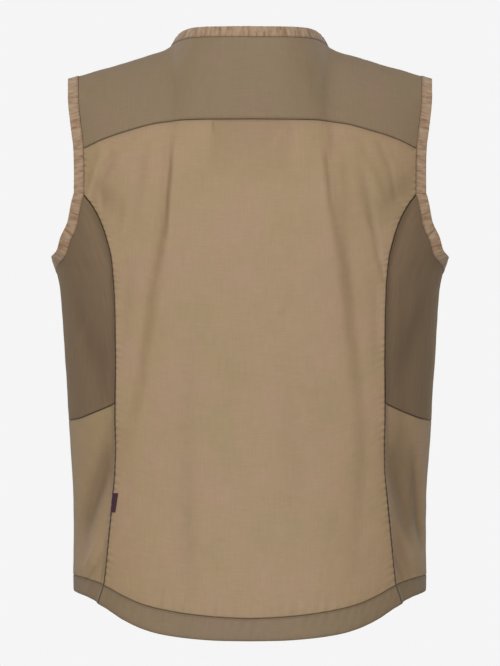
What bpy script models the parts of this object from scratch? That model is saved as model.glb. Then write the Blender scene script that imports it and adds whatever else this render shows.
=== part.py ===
"""Sleeveless wind vest with a front zip, filled out as if worn, with nobody in it.

Metres, +Z up, +Y towards the wearer's front and +X towards the wearer's right, so the back faces -Y.
The origin lies midway between the two neck points, where the shoulder line meets the neck band.

Every cloth panel is a grid of points between its own four seams. The grid lies on one body form, which
gives each point its depth, and Solidify turns it into a wall of cloth. Neighbouring panels share the
points of their seam, and each steps back from it by half of the seam gap.
"""

import math

import bmesh
import bpy
from mathutils import Vector

CLOTH = 0.0012
SEAM_GAP = 0.0003
FRONT_CENTRE = 180.0

# Sideways roundness of the body, and how deep the cloth takes to roll over the shoulder to upright.
ROUNDNESS = 2.4
BACK_ROLL = 0.165
FRONT_ROLL = 0.150

# The cloth faces away from a core line that runs up the middle of the body and ends below the shoulders.
CORE_TOP = -0.15

NECK_HALF_WIDTH = 0.0900
FRONT_NECK_DROP = 0.075
FRONT_YOKE_DROP = 0.0405
YOKE_CORNER_ANGLE = 66.0
ZIP_HALF_GAP = 0.0048

BINDING_WIDTH = 0.012
BINDING_WALL = 0.0020
BINDING_PROUD = 0.0004
BINDING_SHARES = (0.0, 0.5, 1.0)
BAND_HEIGHT = 0.0123
BAND_WALL = 0.0014
BAND_PROUD = 0.0002
BAND_SHARES = (0.0, 0.4, 0.8, 1.0)

# The back panel's columns are close together out to these distances from its middle, and wider beyond.
HEM_COLUMN_CHANGE = 0.075
YOKE_COLUMN_CHANGE = 0.088
NECK_COLUMNS = 7
SHOULDER_COLUMNS = 8
FRONT_NECK_COLUMNS = 6
YOKE_BACK_ROWS = 8
YOKE_FRONT_ROWS = 4
LOWER_ROWS = 9
UPPER_ROWS = 9
BACK_ARMHOLE_ROWS = 4
FRONT_ARMHOLE_ROWS = 5
SIDE_COLUMNS = 12
HEM_ROWS = 2


def table(columns, *rows):
    """A table as a dictionary from each column's name to its values, top row first."""
    return dict(zip(columns.split(), zip(*rows)))


FORM = table(
    "z half_width back_depth front_depth",
    (-0.690, 0.2020, 0.125, 0.117),
    (-0.600, 0.2028, 0.122, 0.116),
    (-0.522, 0.2025, 0.120, 0.116),
    (-0.476, 0.2050, 0.120, 0.116),
    (-0.430, 0.2086, 0.121, 0.117),
    (-0.370, 0.2120, 0.124, 0.118),
    (-0.300, 0.2163, 0.127, 0.120),
    (-0.280, 0.2180, 0.128, 0.121),
    (-0.256, 0.2232, 0.129, 0.122),
    (-0.244, 0.2285, 0.1295, 0.122),
    (-0.210, 0.2315, 0.130, 0.122),
    (-0.150, 0.2320, 0.127, 0.118),
    (-0.085, 0.2320, 0.118, 0.108),
    (-0.040, 0.2320, 0.110, 0.098),
    (0.000, 0.2320, 0.103, 0.090),
    (0.060, 0.2320, 0.095, 0.084),
)
CREST = table(
    "x z",
    (0.000, 0.0520),
    (0.030, 0.0490),
    (0.060, 0.0335),
    (0.079, 0.0140),
    (0.090, 0.0000),
    (0.101, -0.0060),
    (0.117, -0.0110),
    (0.133, -0.0160),
    (0.157, -0.0232),
    (0.177, -0.0287),
    (0.193, -0.0338),
    (0.208, -0.0372),
    (0.232, -0.0450),
)
BACK_NECK = table(
    "x z",
    (0.000, 0.0098),
    (0.050, 0.0096),
    (0.068, 0.0089),
    (0.080, 0.0064),
    (0.087, 0.0030),
    (0.090, 0.0000),
)
YOKE_SEAM = table(
    "x z",
    (0.000, -0.0841),
    (0.068, -0.0845),
    (0.103, -0.0880),
    (0.138, -0.0967),
    (0.166, -0.1060),
    (0.192, -0.1189),
)
ARMHOLE_BACK = table(
    "z x",
    (-0.1713, 0.1905),
    (-0.1479, 0.1906),
    (-0.1189, 0.1912),
    (-0.0863, 0.1949),
    (-0.0576, 0.1976),
    (-0.0350, 0.1978),
)
ARMHOLE_FRONT = table(
    "z x",
    (-0.1850, 0.1780),
    (-0.1600, 0.1762),
    (-0.1300, 0.1782),
    (-0.1000, 0.1835),
    (-0.0735, 0.1900),
    (-0.0576, 0.1940),
    (-0.0350, 0.1978),
)
# Below the arm the armhole is given by distance from the centre and height, first behind and then before.
UNDERARM_BACK = table(
    "x z",
    (0.1905, -0.1713),
    (0.1932, -0.1817),
    (0.1986, -0.2076),
    (0.2059, -0.2240),
    (0.2128, -0.2430),
    (0.2216, -0.2546),
)
UNDERARM_FRONT = table(
    "x z",
    (0.2130, -0.2520),
    (0.2010, -0.2380),
    (0.1895, -0.2210),
    (0.1818, -0.2035),
    (0.1780, -0.1850),
)
UNDERARM_BOTTOM = table("angle z", (90.0, -0.2600), (99.0, -0.2622))
SIDE_SEAM = table(
    "z back_x front_x",
    (-0.6450, 0.1760, 0.1760),
    (-0.6379, 0.1738, 0.1738),
    (-0.6187, 0.1677, 0.1677),
    (-0.5856, 0.1639, 0.1639),
    (-0.5486, 0.1600, 0.1600),
    (-0.5147, 0.1569, 0.1569),
    (-0.4839, 0.1552, 0.1552),
    (-0.4168, 0.1549, 0.1549),
    (-0.3683, 0.1549, 0.1549),
    (-0.3200, 0.1553, 0.1553),
    (-0.2796, 0.1565, 0.1566),
    (-0.2473, 0.1590, 0.1600),
    (-0.2190, 0.1655, 0.1660),
    (-0.2011, 0.1719, 0.1718),
    (-0.1850, 0.1803, 0.1780),
    (-0.1713, 0.1905, 0.1850),
)
SIDE_STEP = table(
    "angle z",
    (44.0, -0.4103),
    (57.7, -0.4224),
    (69.5, -0.4288),
    (90.0, -0.4312),
    (110.0, -0.4288),
    (123.0, -0.4224),
    (137.0, -0.4103),
)
HEM = table(
    "angle top bottom",
    (0.0, -0.6561, -0.6820),
    (6.7, -0.6546, -0.6815),
    (14.7, -0.6518, -0.6795),
    (25.8, -0.6458, -0.6745),
    (33.4, -0.6402, -0.6685),
    (41.9, -0.6310, -0.6588),
    (52.9, -0.6187, -0.6442),
    (70.0, -0.6102, -0.6305),
    (90.0, -0.6075, -0.6265),
    (110.0, -0.6085, -0.6275),
    (127.0, -0.6110, -0.6320),
    (150.0, -0.6165, -0.6395),
    (180.0, -0.6215, -0.6455),
)
# Round the body, the side seams turn by this many degrees down the hem band.
HEM_SEAM_TURN = 4.0
BINDING_FLARE = table(
    "z degrees",
    (-0.264, 6.0),
    (-0.256, 12.0),
    (-0.246, 40.0),
    (-0.235, 36.0),
    (-0.200, 18.0),
    (-0.170, 12.0),
    (-0.060, 10.0),
    (-0.036, 0.0),
)
BAND_LEAN = table(
    "angle lean",
    (0.0, 0.27),
    (45.0, 0.40),
    (90.0, 0.62),
    (135.0, 0.50),
    (180.0, 0.33),
)
NECK_AXIS_Y = 0.018

# Two soft folds drop from the shoulder blades: the middle of the back stands proud of its sides.
DRAPE = table(
    "z left_x right_x",
    (-0.460, -0.1340, 0.1240),
    (-0.400, -0.1210, 0.1170),
    (-0.336, -0.1120, 0.1100),
    (-0.272, -0.1030, 0.1030),
    (-0.207, -0.0940, 0.0960),
    (-0.143, -0.0875, 0.0870),
    (-0.085, -0.0870, 0.0830),
)
DRAPE_STRENGTH = table(
    "z share",
    (-0.520, 0.0),
    (-0.420, 0.45),
    (-0.300, 1.0),
    (-0.170, 1.0),
    (-0.115, 0.35),
    (-0.084, 0.0),
)
DRAPE_STEP = 0.008
DRAPE_EDGE = 0.016
DRAPE_REACH = 0.050
# An inverted box pleat is caught in the yoke seam and opens below it.
PLEAT_HALF_WIDTH = 0.0475
PLEAT_DEPTH = 0.0026
PLEAT_EDGE = 0.007
PLEAT_LENGTH = 0.085
# Soft troughs in the other panels, from one point to another, each the same on the other side.
TROUGHS = table(
    "front x_from z_from x_to z_to depth width",
    (False, 0.1600, -0.4550, 0.1960, -0.5650, 0.0040, 0.0150),
    (False, 0.1880, -0.1500, 0.1500, -0.1950, 0.0018, 0.0130),
    (False, 0.1990, -0.2900, 0.1720, -0.3800, 0.0022, 0.0140),
    (True, 0.1740, -0.1700, 0.1200, -0.2600, 0.0040, 0.0180),
    (True, 0.1000, -0.1100, 0.0880, -0.2400, 0.0035, 0.0200),
    (True, 0.1250, -0.3900, 0.1050, -0.5600, 0.0035, 0.0200),
    (True, 0.1600, -0.4600, 0.1960, -0.5600, 0.0038, 0.0150),
)

ZIP_CHAIN_HALF = 0.0026
ZIP_CHAIN_WALL = 0.0024
ZIP_CHAIN_INSET = 0.00075
ZIP_TAPE_INNER = 0.0029
ZIP_TAPE_OUTER = 0.0150
ZIP_TAPE_WALL = 0.0009
ZIP_CLEAR = 0.0009
ZIP_END = -0.6440
ZIP_BOX_LENGTH = 0.0080
ZIP_BOX_HALF = 0.0026
ZIP_BOX_PROUD = 0.0003
ZIP_BOX_ROUNDING = 0.0005

SLIDER_HALF_WIDTH = 0.0042
SLIDER_LENGTH = 0.0105
SLIDER_RISE = 0.0060
SLIDER_FRONT = (-0.00045, 0.0009)
SLIDER_BACK = (-0.0046, -0.00345)
SLIDER_WEDGE_HALF = 0.0012
SLIDER_WEDGE_LENGTH = 0.0035
BRIDGE_HALF_WIDTH = 0.0009
BRIDGE_HALF_LENGTH = 0.0032
BRIDGE_WIRE = 0.0010
BRIDGE_CLEAR = 0.0019
# The wedge and the bridge's legs bite into the plates, and the legs are a little slimmer than the wire.
SLIDER_BITE = 0.0005
LEG_SLIMMER = 0.0001
PLATE_ROUNDING = 0.0004
SPAN_ROUNDING = 0.0003
WEDGE_ROUNDING = 0.0002

PULL_WALL = 0.0011
PULL_BAR = 0.0012
PULL_WINDOW_HALF = 0.0013
PULL_WINDOW_LENGTH = 0.0040
PULL_HALF_WIDTH = 0.0026
PULL_END_HALF_WIDTH = 0.0032
PULL_LENGTH = 0.0240
PULL_CORNER = 0.0006
PULL_END_CORNER = 0.0024
PULL_WIDENS_AT = 0.45

LABEL_TOP = -0.5130
LABEL_BOTTOM = -0.5352
LABEL_REACH = 0.0067
LABEL_WALL = 0.0012
LABEL_CAUGHT = 0.0002
LABEL_ROWS = 4

TAN = ("tan_cloth", (0.38, 0.26, 0.16), 0.62)
OLIVE = ("olive_cloth", (0.26, 0.18, 0.115), 0.66)
BROWN = ("brown_stretch", (0.17, 0.115, 0.072), 0.80)
TWILL = ("twill_tape", (0.38, 0.25, 0.16), 0.75)
PLUM = ("plum_label", (0.045, 0.013, 0.024), 0.60)
ZIP_FABRIC = ("zip_tape", (0.20, 0.14, 0.09), 0.80)
ZIP_PLASTIC = ("zip_plastic", (0.13, 0.09, 0.06), 0.45)
ZIP_METAL = ("zip_metal", (0.16, 0.13, 0.10), 0.35)


def steps(keys, values):
    """Slopes for a cubic through the points that never overshoots them."""
    rises = [(values[i + 1] - values[i]) / (keys[i + 1] - keys[i]) for i in range(len(keys) - 1)]
    slopes = [rises[0]]
    for before, after in zip(rises, rises[1:]):
        slopes.append(0.0 if before * after <= 0 else 2 * before * after / (before + after))
    slopes.append(rises[-1])
    return slopes


def value(data, key, column, at):
    """The column's value where the key column is at, on a smooth curve through the rows."""
    keys, values = data[key], data[column]
    at = min(max(at, keys[0]), keys[-1])
    i = max(j for j in range(len(keys) - 1) if keys[j] <= at)
    slopes = steps(keys, values)
    width = keys[i + 1] - keys[i]
    t = (at - keys[i]) / width
    rise = values[i + 1] - values[i]
    curve = t * t * (3 - 2 * t) * rise
    bend = t * (1 - t) * ((1 - t) * slopes[i] - t * slopes[i + 1]) * width
    return values[i] + curve + bend


def smoothstep(low, high, at):
    t = min(max((at - low) / (high - low), 0.0), 1.0)
    return t * t * (3 - 2 * t)


def lerp(a, b, t):
    return a + (b - a) * t


def spread(a, b, count):
    """count + 1 values from a to b."""
    return [lerp(a, b, i / count) for i in range(count + 1)]


def angle_of(x, z, front):
    """Where x lies round the body at height z, in degrees from the middle of the back."""
    share = min(abs(x) / value(FORM, "z", "half_width", z), 1.0)
    angle = math.degrees(math.asin(share ** (ROUNDNESS / 2)))
    return math.copysign(FRONT_CENTRE - angle if front else angle, x)


def roll_of(x, z, front):
    """How far the cloth at x and z has rolled over the shoulder, in degrees: 0 at the crest, 90 upright."""
    roll = FRONT_ROLL if front else BACK_ROLL
    share = (value(CREST, "x", "z", abs(x)) - z) / roll
    return math.degrees(math.acos(1 - min(max(share, 0.0), 1.0)))


def drape_fold(x, z):
    """How far the back stands out of the plain form, from its two drape folds."""
    line = value(DRAPE, "z", "left_x" if x < 0 else "right_x", z)
    beyond = (x - line) * math.copysign(1.0, x)
    fade = math.exp(-abs(beyond / DRAPE_REACH) ** 1.5)
    step = 0.5 - smoothstep(-DRAPE_EDGE / 4, DRAPE_EDGE, beyond)
    return DRAPE_STEP * step * fade * value(DRAPE_STRENGTH, "z", "share", z)


def pleat_fold(x, z):
    """How far the box pleat sets the middle of the back in, below the yoke seam."""
    below = (value(YOKE_SEAM, "x", "z", abs(x)) - z) / PLEAT_LENGTH
    if not 0 < below < 1:
        return 0.0
    inside = 1 - smoothstep(PLEAT_HALF_WIDTH - PLEAT_EDGE, PLEAT_HALF_WIDTH + PLEAT_EDGE, abs(x))
    return -PLEAT_DEPTH * inside * smoothstep(0, 0.15, below) * (1 - smoothstep(0.15, 1, below))


def trough_folds(point):
    """How far the soft troughs set this point in. Each is deepest halfway along its line."""
    total = 0.0
    here = Vector((abs(point.x), point.y, point.z))
    for row in zip(*TROUGHS.values()):
        front, x_from, z_from, x_to, z_to, depth, width = row
        start = plain_point(x_from, z_from, front)
        line = plain_point(x_to, z_to, front) - start
        share = min(max((here - start).dot(line) / line.length_squared, 0.0), 1.0)
        away = (here - start - line * share).length
        total -= depth * math.exp(-((away / width) ** 2)) * math.sin(math.pi * lerp(0.1, 0.9, share))
    return total


def depth_at(x, z, flank, roll, front):
    depth = value(FORM, "z", "front_depth" if front else "back_depth", z)
    y = depth * flank * math.sin(math.radians(roll))
    return y if front else -y


def plain_point(x, z, front):
    """The body form's point at x and z, with no folds in it."""
    half = value(FORM, "z", "half_width", z)
    flank = max(0.0, 1 - (abs(x) / half) ** ROUNDNESS) ** (1 / ROUNDNESS)
    return Vector((x, depth_at(x, z, flank, roll_of(x, z, front), front), z))


def outward(x, z, flank, front):
    """The body form's level outward direction."""
    half = value(FORM, "z", "half_width", z)
    depth = value(FORM, "z", "front_depth" if front else "back_depth", z)
    across = math.copysign((abs(x) / half) ** (ROUNDNESS - 1) / half, x)
    along = flank ** (ROUNDNESS - 1) / depth
    return Vector((across, along if front else -along, 0)).normalized()


def folded(point, flank, front):
    """The point moved by the folds that cross it."""
    rise = trough_folds(point)
    if not front:
        rise += drape_fold(point.x, point.z) + pleat_fold(point.x, point.z)
    return point + outward(point.x, point.z, flank, front) * rise


def round_point(angle, z):
    """A point of the cloth, by its angle round the body and its height."""
    front = abs(angle) > 90
    turn = math.radians(angle)
    half = value(FORM, "z", "half_width", z)
    x = math.copysign(half * abs(math.sin(turn)) ** (2 / ROUNDNESS), angle)
    flank = abs(math.cos(turn)) ** (2 / ROUNDNESS)
    point = Vector((x, depth_at(x, z, flank, roll_of(x, z, front), front), z))
    return folded(point, flank, front)


def flat_point(x, z, front):
    """A point of the cloth, by its place in the view from straight behind or before."""
    return round_point(angle_of(x, z, front), z)


def rolled_point(x, roll):
    """A point of the yoke, by x and how far it has rolled over the shoulder, to the front below 0."""
    front = roll < 0
    height = FRONT_ROLL if front else BACK_ROLL
    z = value(CREST, "x", "z", abs(x)) - height * (1 - math.cos(math.radians(roll)))
    half = value(FORM, "z", "half_width", z)
    flank = max(0.0, 1 - (abs(x) / half) ** ROUNDNESS) ** (1 / ROUNDNESS)
    point = Vector((x, depth_at(x, z, flank, abs(roll), front), z))
    return folded(point, flank, front)


def between(bottom, top, left, right):
    """A grid between four edges, each a list of pairs, as rows from bottom to top (a Coons patch)."""
    bottom, top, left, right = ([Vector(p) for p in edge] for edge in (bottom, top, left, right))
    columns, rows = len(bottom) - 1, len(left) - 1
    grid = []
    for j in range(rows + 1):
        up = j / rows
        line = []
        for i in range(columns + 1):
            along = i / columns
            straight = lerp(lerp(bottom[0], bottom[-1], along), lerp(top[0], top[-1], along), up)
            line.append(lerp(bottom[i], top[i], up) + lerp(left[j], right[j], along) - straight)
        grid.append(line)
    return grid


def mirrored(pairs):
    return [(-a, b) for a, b in pairs]


def side_seam_x(z, front):
    return value(SIDE_SEAM, "z", "front_x" if front else "back_x", z)


def seam_heights(front):
    """The heights of the side seam's points, from the hem band up to the armhole."""
    foot = HEM["top"][6] if not front else value(HEM, "angle", "top", 127.0)
    step = SIDE_STEP["z"][0]
    junction = ARMHOLE_FRONT["z"][0] if front else ARMHOLE_BACK["z"][0]
    return spread(foot, step, LOWER_ROWS) + spread(step, junction, UPPER_ROWS)[1:]


def side_seam(front):
    return [(side_seam_x(z, front), z) for z in seam_heights(front)]


def armhole_edge(front):
    """The armhole from the top of the side seam up to the yoke."""
    edge = ARMHOLE_FRONT if front else ARMHOLE_BACK
    top = edge["z"][4] if front else edge["z"][2]
    rows = FRONT_ARMHOLE_ROWS if front else BACK_ARMHOLE_ROWS
    return [(value(edge, "z", "x", z), z) for z in spread(edge["z"][0], top, rows)]


def columns_across(neck_half, full_half):
    """x of the columns on one half, close together over the neck and wider over the shoulder."""
    return spread(0.0, neck_half, NECK_COLUMNS) + spread(neck_half, full_half, SHOULDER_COLUMNS)[1:]


def both_halves(half):
    """A row of (x, second) pairs over the whole back from the pairs on the right half, centre first."""
    return mirrored(half[:0:-1]) + half


def hem_back_top():
    """The seam of the back panel and its hem band, as x and z."""
    widest = side_seam_x(HEM["top"][6], False)
    pairs = []
    for x in columns_across(HEM_COLUMN_CHANGE, widest):
        z = HEM["top"][0]
        for _ in range(2):
            z = value(HEM, "angle", "top", angle_of(x, z, False))
        pairs.append((x, z))
    pairs[-1] = (widest, HEM["top"][6])
    return both_halves(pairs)


def yoke_seam():
    columns = columns_across(YOKE_COLUMN_CHANGE, ARMHOLE_BACK["x"][2])
    half = [(x, value(YOKE_SEAM, "x", "z", x)) for x in columns]
    half[-1] = (ARMHOLE_BACK["x"][2], ARMHOLE_BACK["z"][2])
    return both_halves(half)


def back_panel_points():
    edge = side_seam(False) + armhole_edge(False)[1:]
    grid = between(hem_back_top(), yoke_seam(), mirrored(edge), edge)
    return [[flat_point(x, z, False) for x, z in row] for row in grid]


def crest_columns():
    return spread(NECK_HALF_WIDTH, ARMHOLE_BACK["x"][-1], SHOULDER_COLUMNS)


def armhole_rolls(edge, front, rolls):
    """Points of the armhole over the shoulder, as x and roll."""
    height = FRONT_ROLL if front else BACK_ROLL
    pairs = []
    for roll in rolls:
        x = edge["x"][-1]
        for _ in range(6):
            z = value(CREST, "x", "z", x) - height * (1 - math.cos(math.radians(roll)))
            x = value(edge, "z", "x", z)
        pairs.append((x, roll))
    return pairs


def yoke_back_points():
    bottom = [(x, roll_of(x, z, False)) for x, z in yoke_seam()]
    neck = [NECK_HALF_WIDTH * math.sin(math.radians(a)) for a in spread(0, 90, NECK_COLUMNS)]
    half = [(x, roll_of(x, value(BACK_NECK, "x", "z", x), False)) for x in neck]
    half[-1] = (NECK_HALF_WIDTH, 0.0)
    half += [(x, 0.0) for x in crest_columns()[1:]]
    right = armhole_rolls(ARMHOLE_BACK, False, spread(bottom[-1][1], 0.0, YOKE_BACK_ROWS))
    right[0] = bottom[-1]
    grid = between(bottom, both_halves(half), mirrored(right), right)
    return [[rolled_point(x, roll) for x, roll in row] for row in grid]


def front_neck(angle):
    """x and z of the front neck seam: 90 degrees at the neck point, 0 at the centre front."""
    turn = math.radians(angle)
    return NECK_HALF_WIDTH * math.sin(turn), -FRONT_NECK_DROP * math.cos(turn)


def front_yoke_seam():
    """The yoke's front seam from the neck to the armhole, as x and z."""
    neck_x, neck_z = front_neck(YOKE_CORNER_ANGLE)
    arm_x, arm_z = ARMHOLE_FRONT["x"][4], ARMHOLE_FRONT["z"][4]
    columns = spread(neck_x, arm_x, SHOULDER_COLUMNS)
    pairs = [(x, value(CREST, "x", "z", x) - FRONT_YOKE_DROP) for x in columns]
    pairs[0] = (neck_x, neck_z)
    pairs[-1] = (arm_x, arm_z)
    return pairs


def yoke_front_points(side):
    """The part of the yoke before the shoulder crest, on one side."""
    crest = [(x, 0.0) for x in crest_columns()]
    seam = [(x, -roll_of(x, z, True)) for x, z in front_yoke_seam()]
    neck = []
    for angle in spread(90.0, YOKE_CORNER_ANGLE, YOKE_FRONT_ROWS):
        x, z = front_neck(angle)
        neck.append((x, -roll_of(x, z, True)))
    neck[0] = crest[0]
    rolls = spread(0.0, -seam[-1][1], YOKE_FRONT_ROWS)
    arm = [(x, -roll) for x, roll in armhole_rolls(ARMHOLE_FRONT, True, rolls)]
    arm[-1] = seam[-1]
    grid = between(crest, seam, neck, arm)
    return [[rolled_point(side * x, roll) for x, roll in row] for row in grid]


def front_panel_points(side):
    start = math.degrees(math.asin(ZIP_HALF_GAP / NECK_HALF_WIDTH))
    neck = [front_neck(a) for a in spread(start, YOKE_CORNER_ANGLE, FRONT_NECK_COLUMNS)]
    top = neck + front_yoke_seam()[1:]
    edge = side_seam(True) + armhole_edge(True)[1:]
    bottom = front_hem_top()
    low, high = edge[0][1], edge[-1][1]
    centre = [(ZIP_HALF_GAP, lerp(bottom[0][1], top[0][1], (z - low) / (high - low))) for _, z in edge]
    grid = between(bottom, top, centre, edge)
    return [[flat_point(side * x, z, True) for x, z in row] for row in grid]


def front_hem_top():
    foot = side_seam(True)[0]
    pairs = []
    for x in spread(ZIP_HALF_GAP, foot[0], FRONT_NECK_COLUMNS + SHOULDER_COLUMNS):
        angle = angle_of(x, foot[1], True)
        pairs.append((x, value(HEM, "angle", "top", angle)))
    pairs[-1] = foot
    return pairs


def round_pairs(pairs, front):
    """(x, z) pairs as (angle, z) pairs."""
    return [(angle_of(x, z, front), z) for x, z in pairs]


def even_curve(knots, count):
    """count + 1 (angle, z) pairs spaced evenly on the cloth, on a smooth curve through the knots."""
    dense = []
    padded = [knots[0]] + knots + [knots[-1]]
    for i in range(len(knots) - 1):
        before, a, b, after = (Vector(p) for p in padded[i : i + 4])
        for t in spread(0.0, 1.0, 12)[: 12 if i < len(knots) - 2 else 13]:
            turn = 2 * a + (b - before) * t
            turn += (2 * before - 5 * a + 4 * b - after) * t**2 + (3 * a - before - 3 * b + after) * t**3
            dense.append(turn / 2)
    places = [round_point(*p) for p in dense]
    lengths = [0.0]
    for a, b in zip(places, places[1:]):
        lengths.append(lengths[-1] + (b - a).length)
    pairs = []
    for target in spread(0.0, lengths[-1], count):
        i = max(j for j in range(len(lengths) - 1) if lengths[j] <= target)
        share = (target - lengths[i]) / (lengths[i + 1] - lengths[i])
        pairs.append(tuple(lerp(dense[i], dense[i + 1], share)))
    return pairs


def underarm_edge():
    back = round_pairs(list(zip(UNDERARM_BACK["x"], UNDERARM_BACK["z"])), False)
    front = round_pairs(list(zip(UNDERARM_FRONT["x"], UNDERARM_FRONT["z"])), True)
    bottom = list(zip(UNDERARM_BOTTOM["angle"], UNDERARM_BOTTOM["z"]))
    pairs = even_curve(back + bottom + front, SIDE_COLUMNS)
    pairs[0], pairs[-1] = back[0], front[-1]
    return pairs


def level_edge(data, column, start, end):
    """An edge across the side panel from one (angle, z) pair to another, its heights from a table."""
    pairs = [(a, value(data, "angle", column, a)) for a in spread(start[0], end[0], SIDE_COLUMNS)]
    pairs[0], pairs[-1] = start, end
    return pairs


def side_panel_points(side):
    """The lower and the upper side panel."""
    back = round_pairs(side_seam(False), False)
    front = round_pairs(side_seam(True), True)
    foot = level_edge(HEM, "top", back[0], front[0])
    step = level_edge(SIDE_STEP, "z", back[LOWER_ROWS], front[LOWER_ROWS])
    lower = between(foot, step, back[: LOWER_ROWS + 1], front[: LOWER_ROWS + 1])
    upper = between(step, underarm_edge(), back[LOWER_ROWS:], front[LOWER_ROWS:])
    return [[[round_point(side * a, z) for a, z in row] for row in grid] for grid in (lower, upper)]


def hem_seam_foot(front):
    """The angle at which the side seam crosses the hem's lower edge."""
    top_angle, _ = round_pairs(side_seam(front)[:1], front)[0]
    return top_angle + (-HEM_SEAM_TURN if front else HEM_SEAM_TURN)


def hem_band_points(side, top, start, end):
    """A hem band below a seam of (angle, z) pairs. Its lower edge runs from one angle to another."""
    first, last = top[0][0], top[-1][0]
    bottom = []
    for angle, _ in top:
        turned = lerp(start, end, (angle - first) / (last - first))
        bottom.append((turned, value(HEM, "angle", "bottom", abs(turned))))
    left = [lerp(Vector(bottom[0]), Vector(top[0]), t) for t in spread(0, 1, HEM_ROWS)]
    right = [lerp(Vector(bottom[-1]), Vector(top[-1]), t) for t in spread(0, 1, HEM_ROWS)]
    return [[round_point(side * a, z) for a, z in row] for row in between(bottom, top, left, right)]


def hem_back_points():
    foot = hem_seam_foot(False)
    return hem_band_points(1, round_pairs(hem_back_top(), False), -foot, foot)


def hem_side_points(side):
    back = round_pairs(side_seam(False), False)
    front = round_pairs(side_seam(True), True)
    top = level_edge(HEM, "top", back[0], front[0])
    return hem_band_points(side, top, hem_seam_foot(False), hem_seam_foot(True))


def hem_front_points(side):
    top = round_pairs(front_hem_top(), True)
    return hem_band_points(side, top, top[0][0], hem_seam_foot(True))


def material(finish):
    """The finish's Principled material, made once."""
    name, colour, roughness = finish
    made = bpy.data.materials.get(name)
    if made is None:
        made = bpy.data.materials.new(name)
        made.use_nodes = True
        shader = made.node_tree.nodes["Principled BSDF"]
        shader.inputs["Base Color"].default_value = (*colour, 1.0)
        shader.inputs["Roughness"].default_value = roughness
        shader.inputs["Metallic"].default_value = 0.8 if name == ZIP_METAL[0] else 0.0
    return made


def add_object(name, mesh, finish):
    made = bpy.data.objects.new(name, mesh)
    mesh.materials.append(material(finish))
    mesh.shade_smooth()
    bpy.data.collections[COLLECTION].objects.link(made)
    return made


def step_back(surface, distance):
    """Draws every open edge of a surface in by this distance, square to the edge."""
    shifts = {}
    for edge in surface.edges:
        if not edge.is_boundary:
            continue
        along = (edge.verts[1].co - edge.verts[0].co).normalized()
        middle = (edge.verts[1].co + edge.verts[0].co) / 2
        inward = edge.link_faces[0].calc_center_median() - middle
        inward = (inward - along * inward.dot(along)).normalized()
        for vertex in edge.verts:
            shifts.setdefault(vertex, []).append(inward)
    for vertex, (one, other) in shifts.items():
        vertex.co += (one + other) / (1 + one.dot(other)) * distance


def cloth(name, grids, finish, wall=CLOTH, proud=0.0, gap=SEAM_GAP):
    """A wall of cloth on one or more grids of points that share an edge, its face proud of them."""
    surface = bmesh.new()
    for grid in grids:
        rows, columns = len(grid) - 1, len(grid[0]) - 1
        made = bmesh.ops.create_grid(surface, x_segments=columns, y_segments=rows, size=1.0)
        for vertex in made["verts"]:
            column = round((vertex.co.x + 1) / 2 * columns)
            row = round((vertex.co.y + 1) / 2 * rows)
            vertex.co = grid[row][column]
    bmesh.ops.remove_doubles(surface, verts=surface.verts, dist=1e-6)
    bmesh.ops.recalc_face_normals(surface, faces=surface.faces)
    facing = 0.0
    for face in surface.faces:
        centre = face.calc_center_median()
        facing += face.normal.dot(centre - Vector((0, 0, min(centre.z, CORE_TOP))))
    if facing < 0:
        bmesh.ops.reverse_faces(surface, faces=surface.faces)
    step_back(surface, gap / 2)
    surface.normal_update()
    if proud:
        moves = [(vertex, vertex.normal * proud) for vertex in surface.verts]
        for vertex, move in moves:
            vertex.co += move
    mesh = bpy.data.meshes.new(name)
    surface.to_mesh(mesh)
    surface.free()
    made = add_object(name, mesh, finish)
    thickness = made.modifiers.new("cloth wall", "SOLIDIFY")
    thickness.thickness = wall
    thickness.offset = -1.0
    return made


def around(points, neighbours):
    """For a closed run of edge points, the directions that lead on from the cloth and that face out of it."""
    count = len(points)
    leads = []
    for i in range(count):
        along = (points[(i + 1) % count] - points[i - 1]).normalized()
        lead = points[i] - neighbours[i]
        leads.append((lead - along * lead.dot(along)).normalized())
    for _ in range(2):
        leads = [(leads[i - 1] + leads[i] * 2 + leads[(i + 1) % count]).normalized() for i in range(count)]
    faces = []
    for i in range(count):
        along = (points[(i + 1) % count] - points[i - 1]).normalized()
        face = along.cross(leads[i]).normalized()
        away = points[i] - Vector((0, 0, min(points[i].z, CORE_TOP)))
        faces.append(face if face.dot(away) > 0 else -face)
    return leads, faces


def armhole_binding(name, side, back, yoke_back, yoke_front, front, side_upper):
    """The tape round one armhole, which carries the panels' edges on by its own width."""
    last = -1 if side > 0 else 0
    beside = -2 if side > 0 else 1
    foot = LOWER_ROWS + UPPER_ROWS
    pairs = [(row[last], row[beside]) for row in back[foot:-1]]
    pairs += [(row[last], row[beside]) for row in yoke_back[:-1]]
    pairs += [(row[-1], row[-2]) for row in yoke_front[:-1]]
    pairs += [(row[-1], row[-2]) for row in front[:foot:-1]]
    pairs += list(zip(side_upper[-1], side_upper[-2]))[:0:-1]
    points = [pair[0] for pair in pairs]
    leads, faces = around(points, [pair[1] for pair in pairs])
    grid = []
    for share in BINDING_SHARES:
        line = []
        for point, lead, face in zip(points, leads, faces):
            flare = math.radians(value(BINDING_FLARE, "z", "degrees", point.z))
            way = lead * math.cos(flare) + face * math.sin(flare)
            line.append(point + way * BINDING_WIDTH * share)
        grid.append(line + line[:1])
    return cloth(name, [grid], TWILL, wall=BINDING_WALL, proud=BINDING_PROUD)


def band_way(point):
    """The way the neck band stands up from its seam."""
    inward = Vector((-point.x, NECK_AXIS_Y - point.y, 0))
    angle = math.degrees(math.atan2(abs(inward.x), inward.y))
    return (inward.normalized() * value(BAND_LEAN, "angle", "lean", angle) + Vector((0, 0, 1))).normalized()


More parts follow.
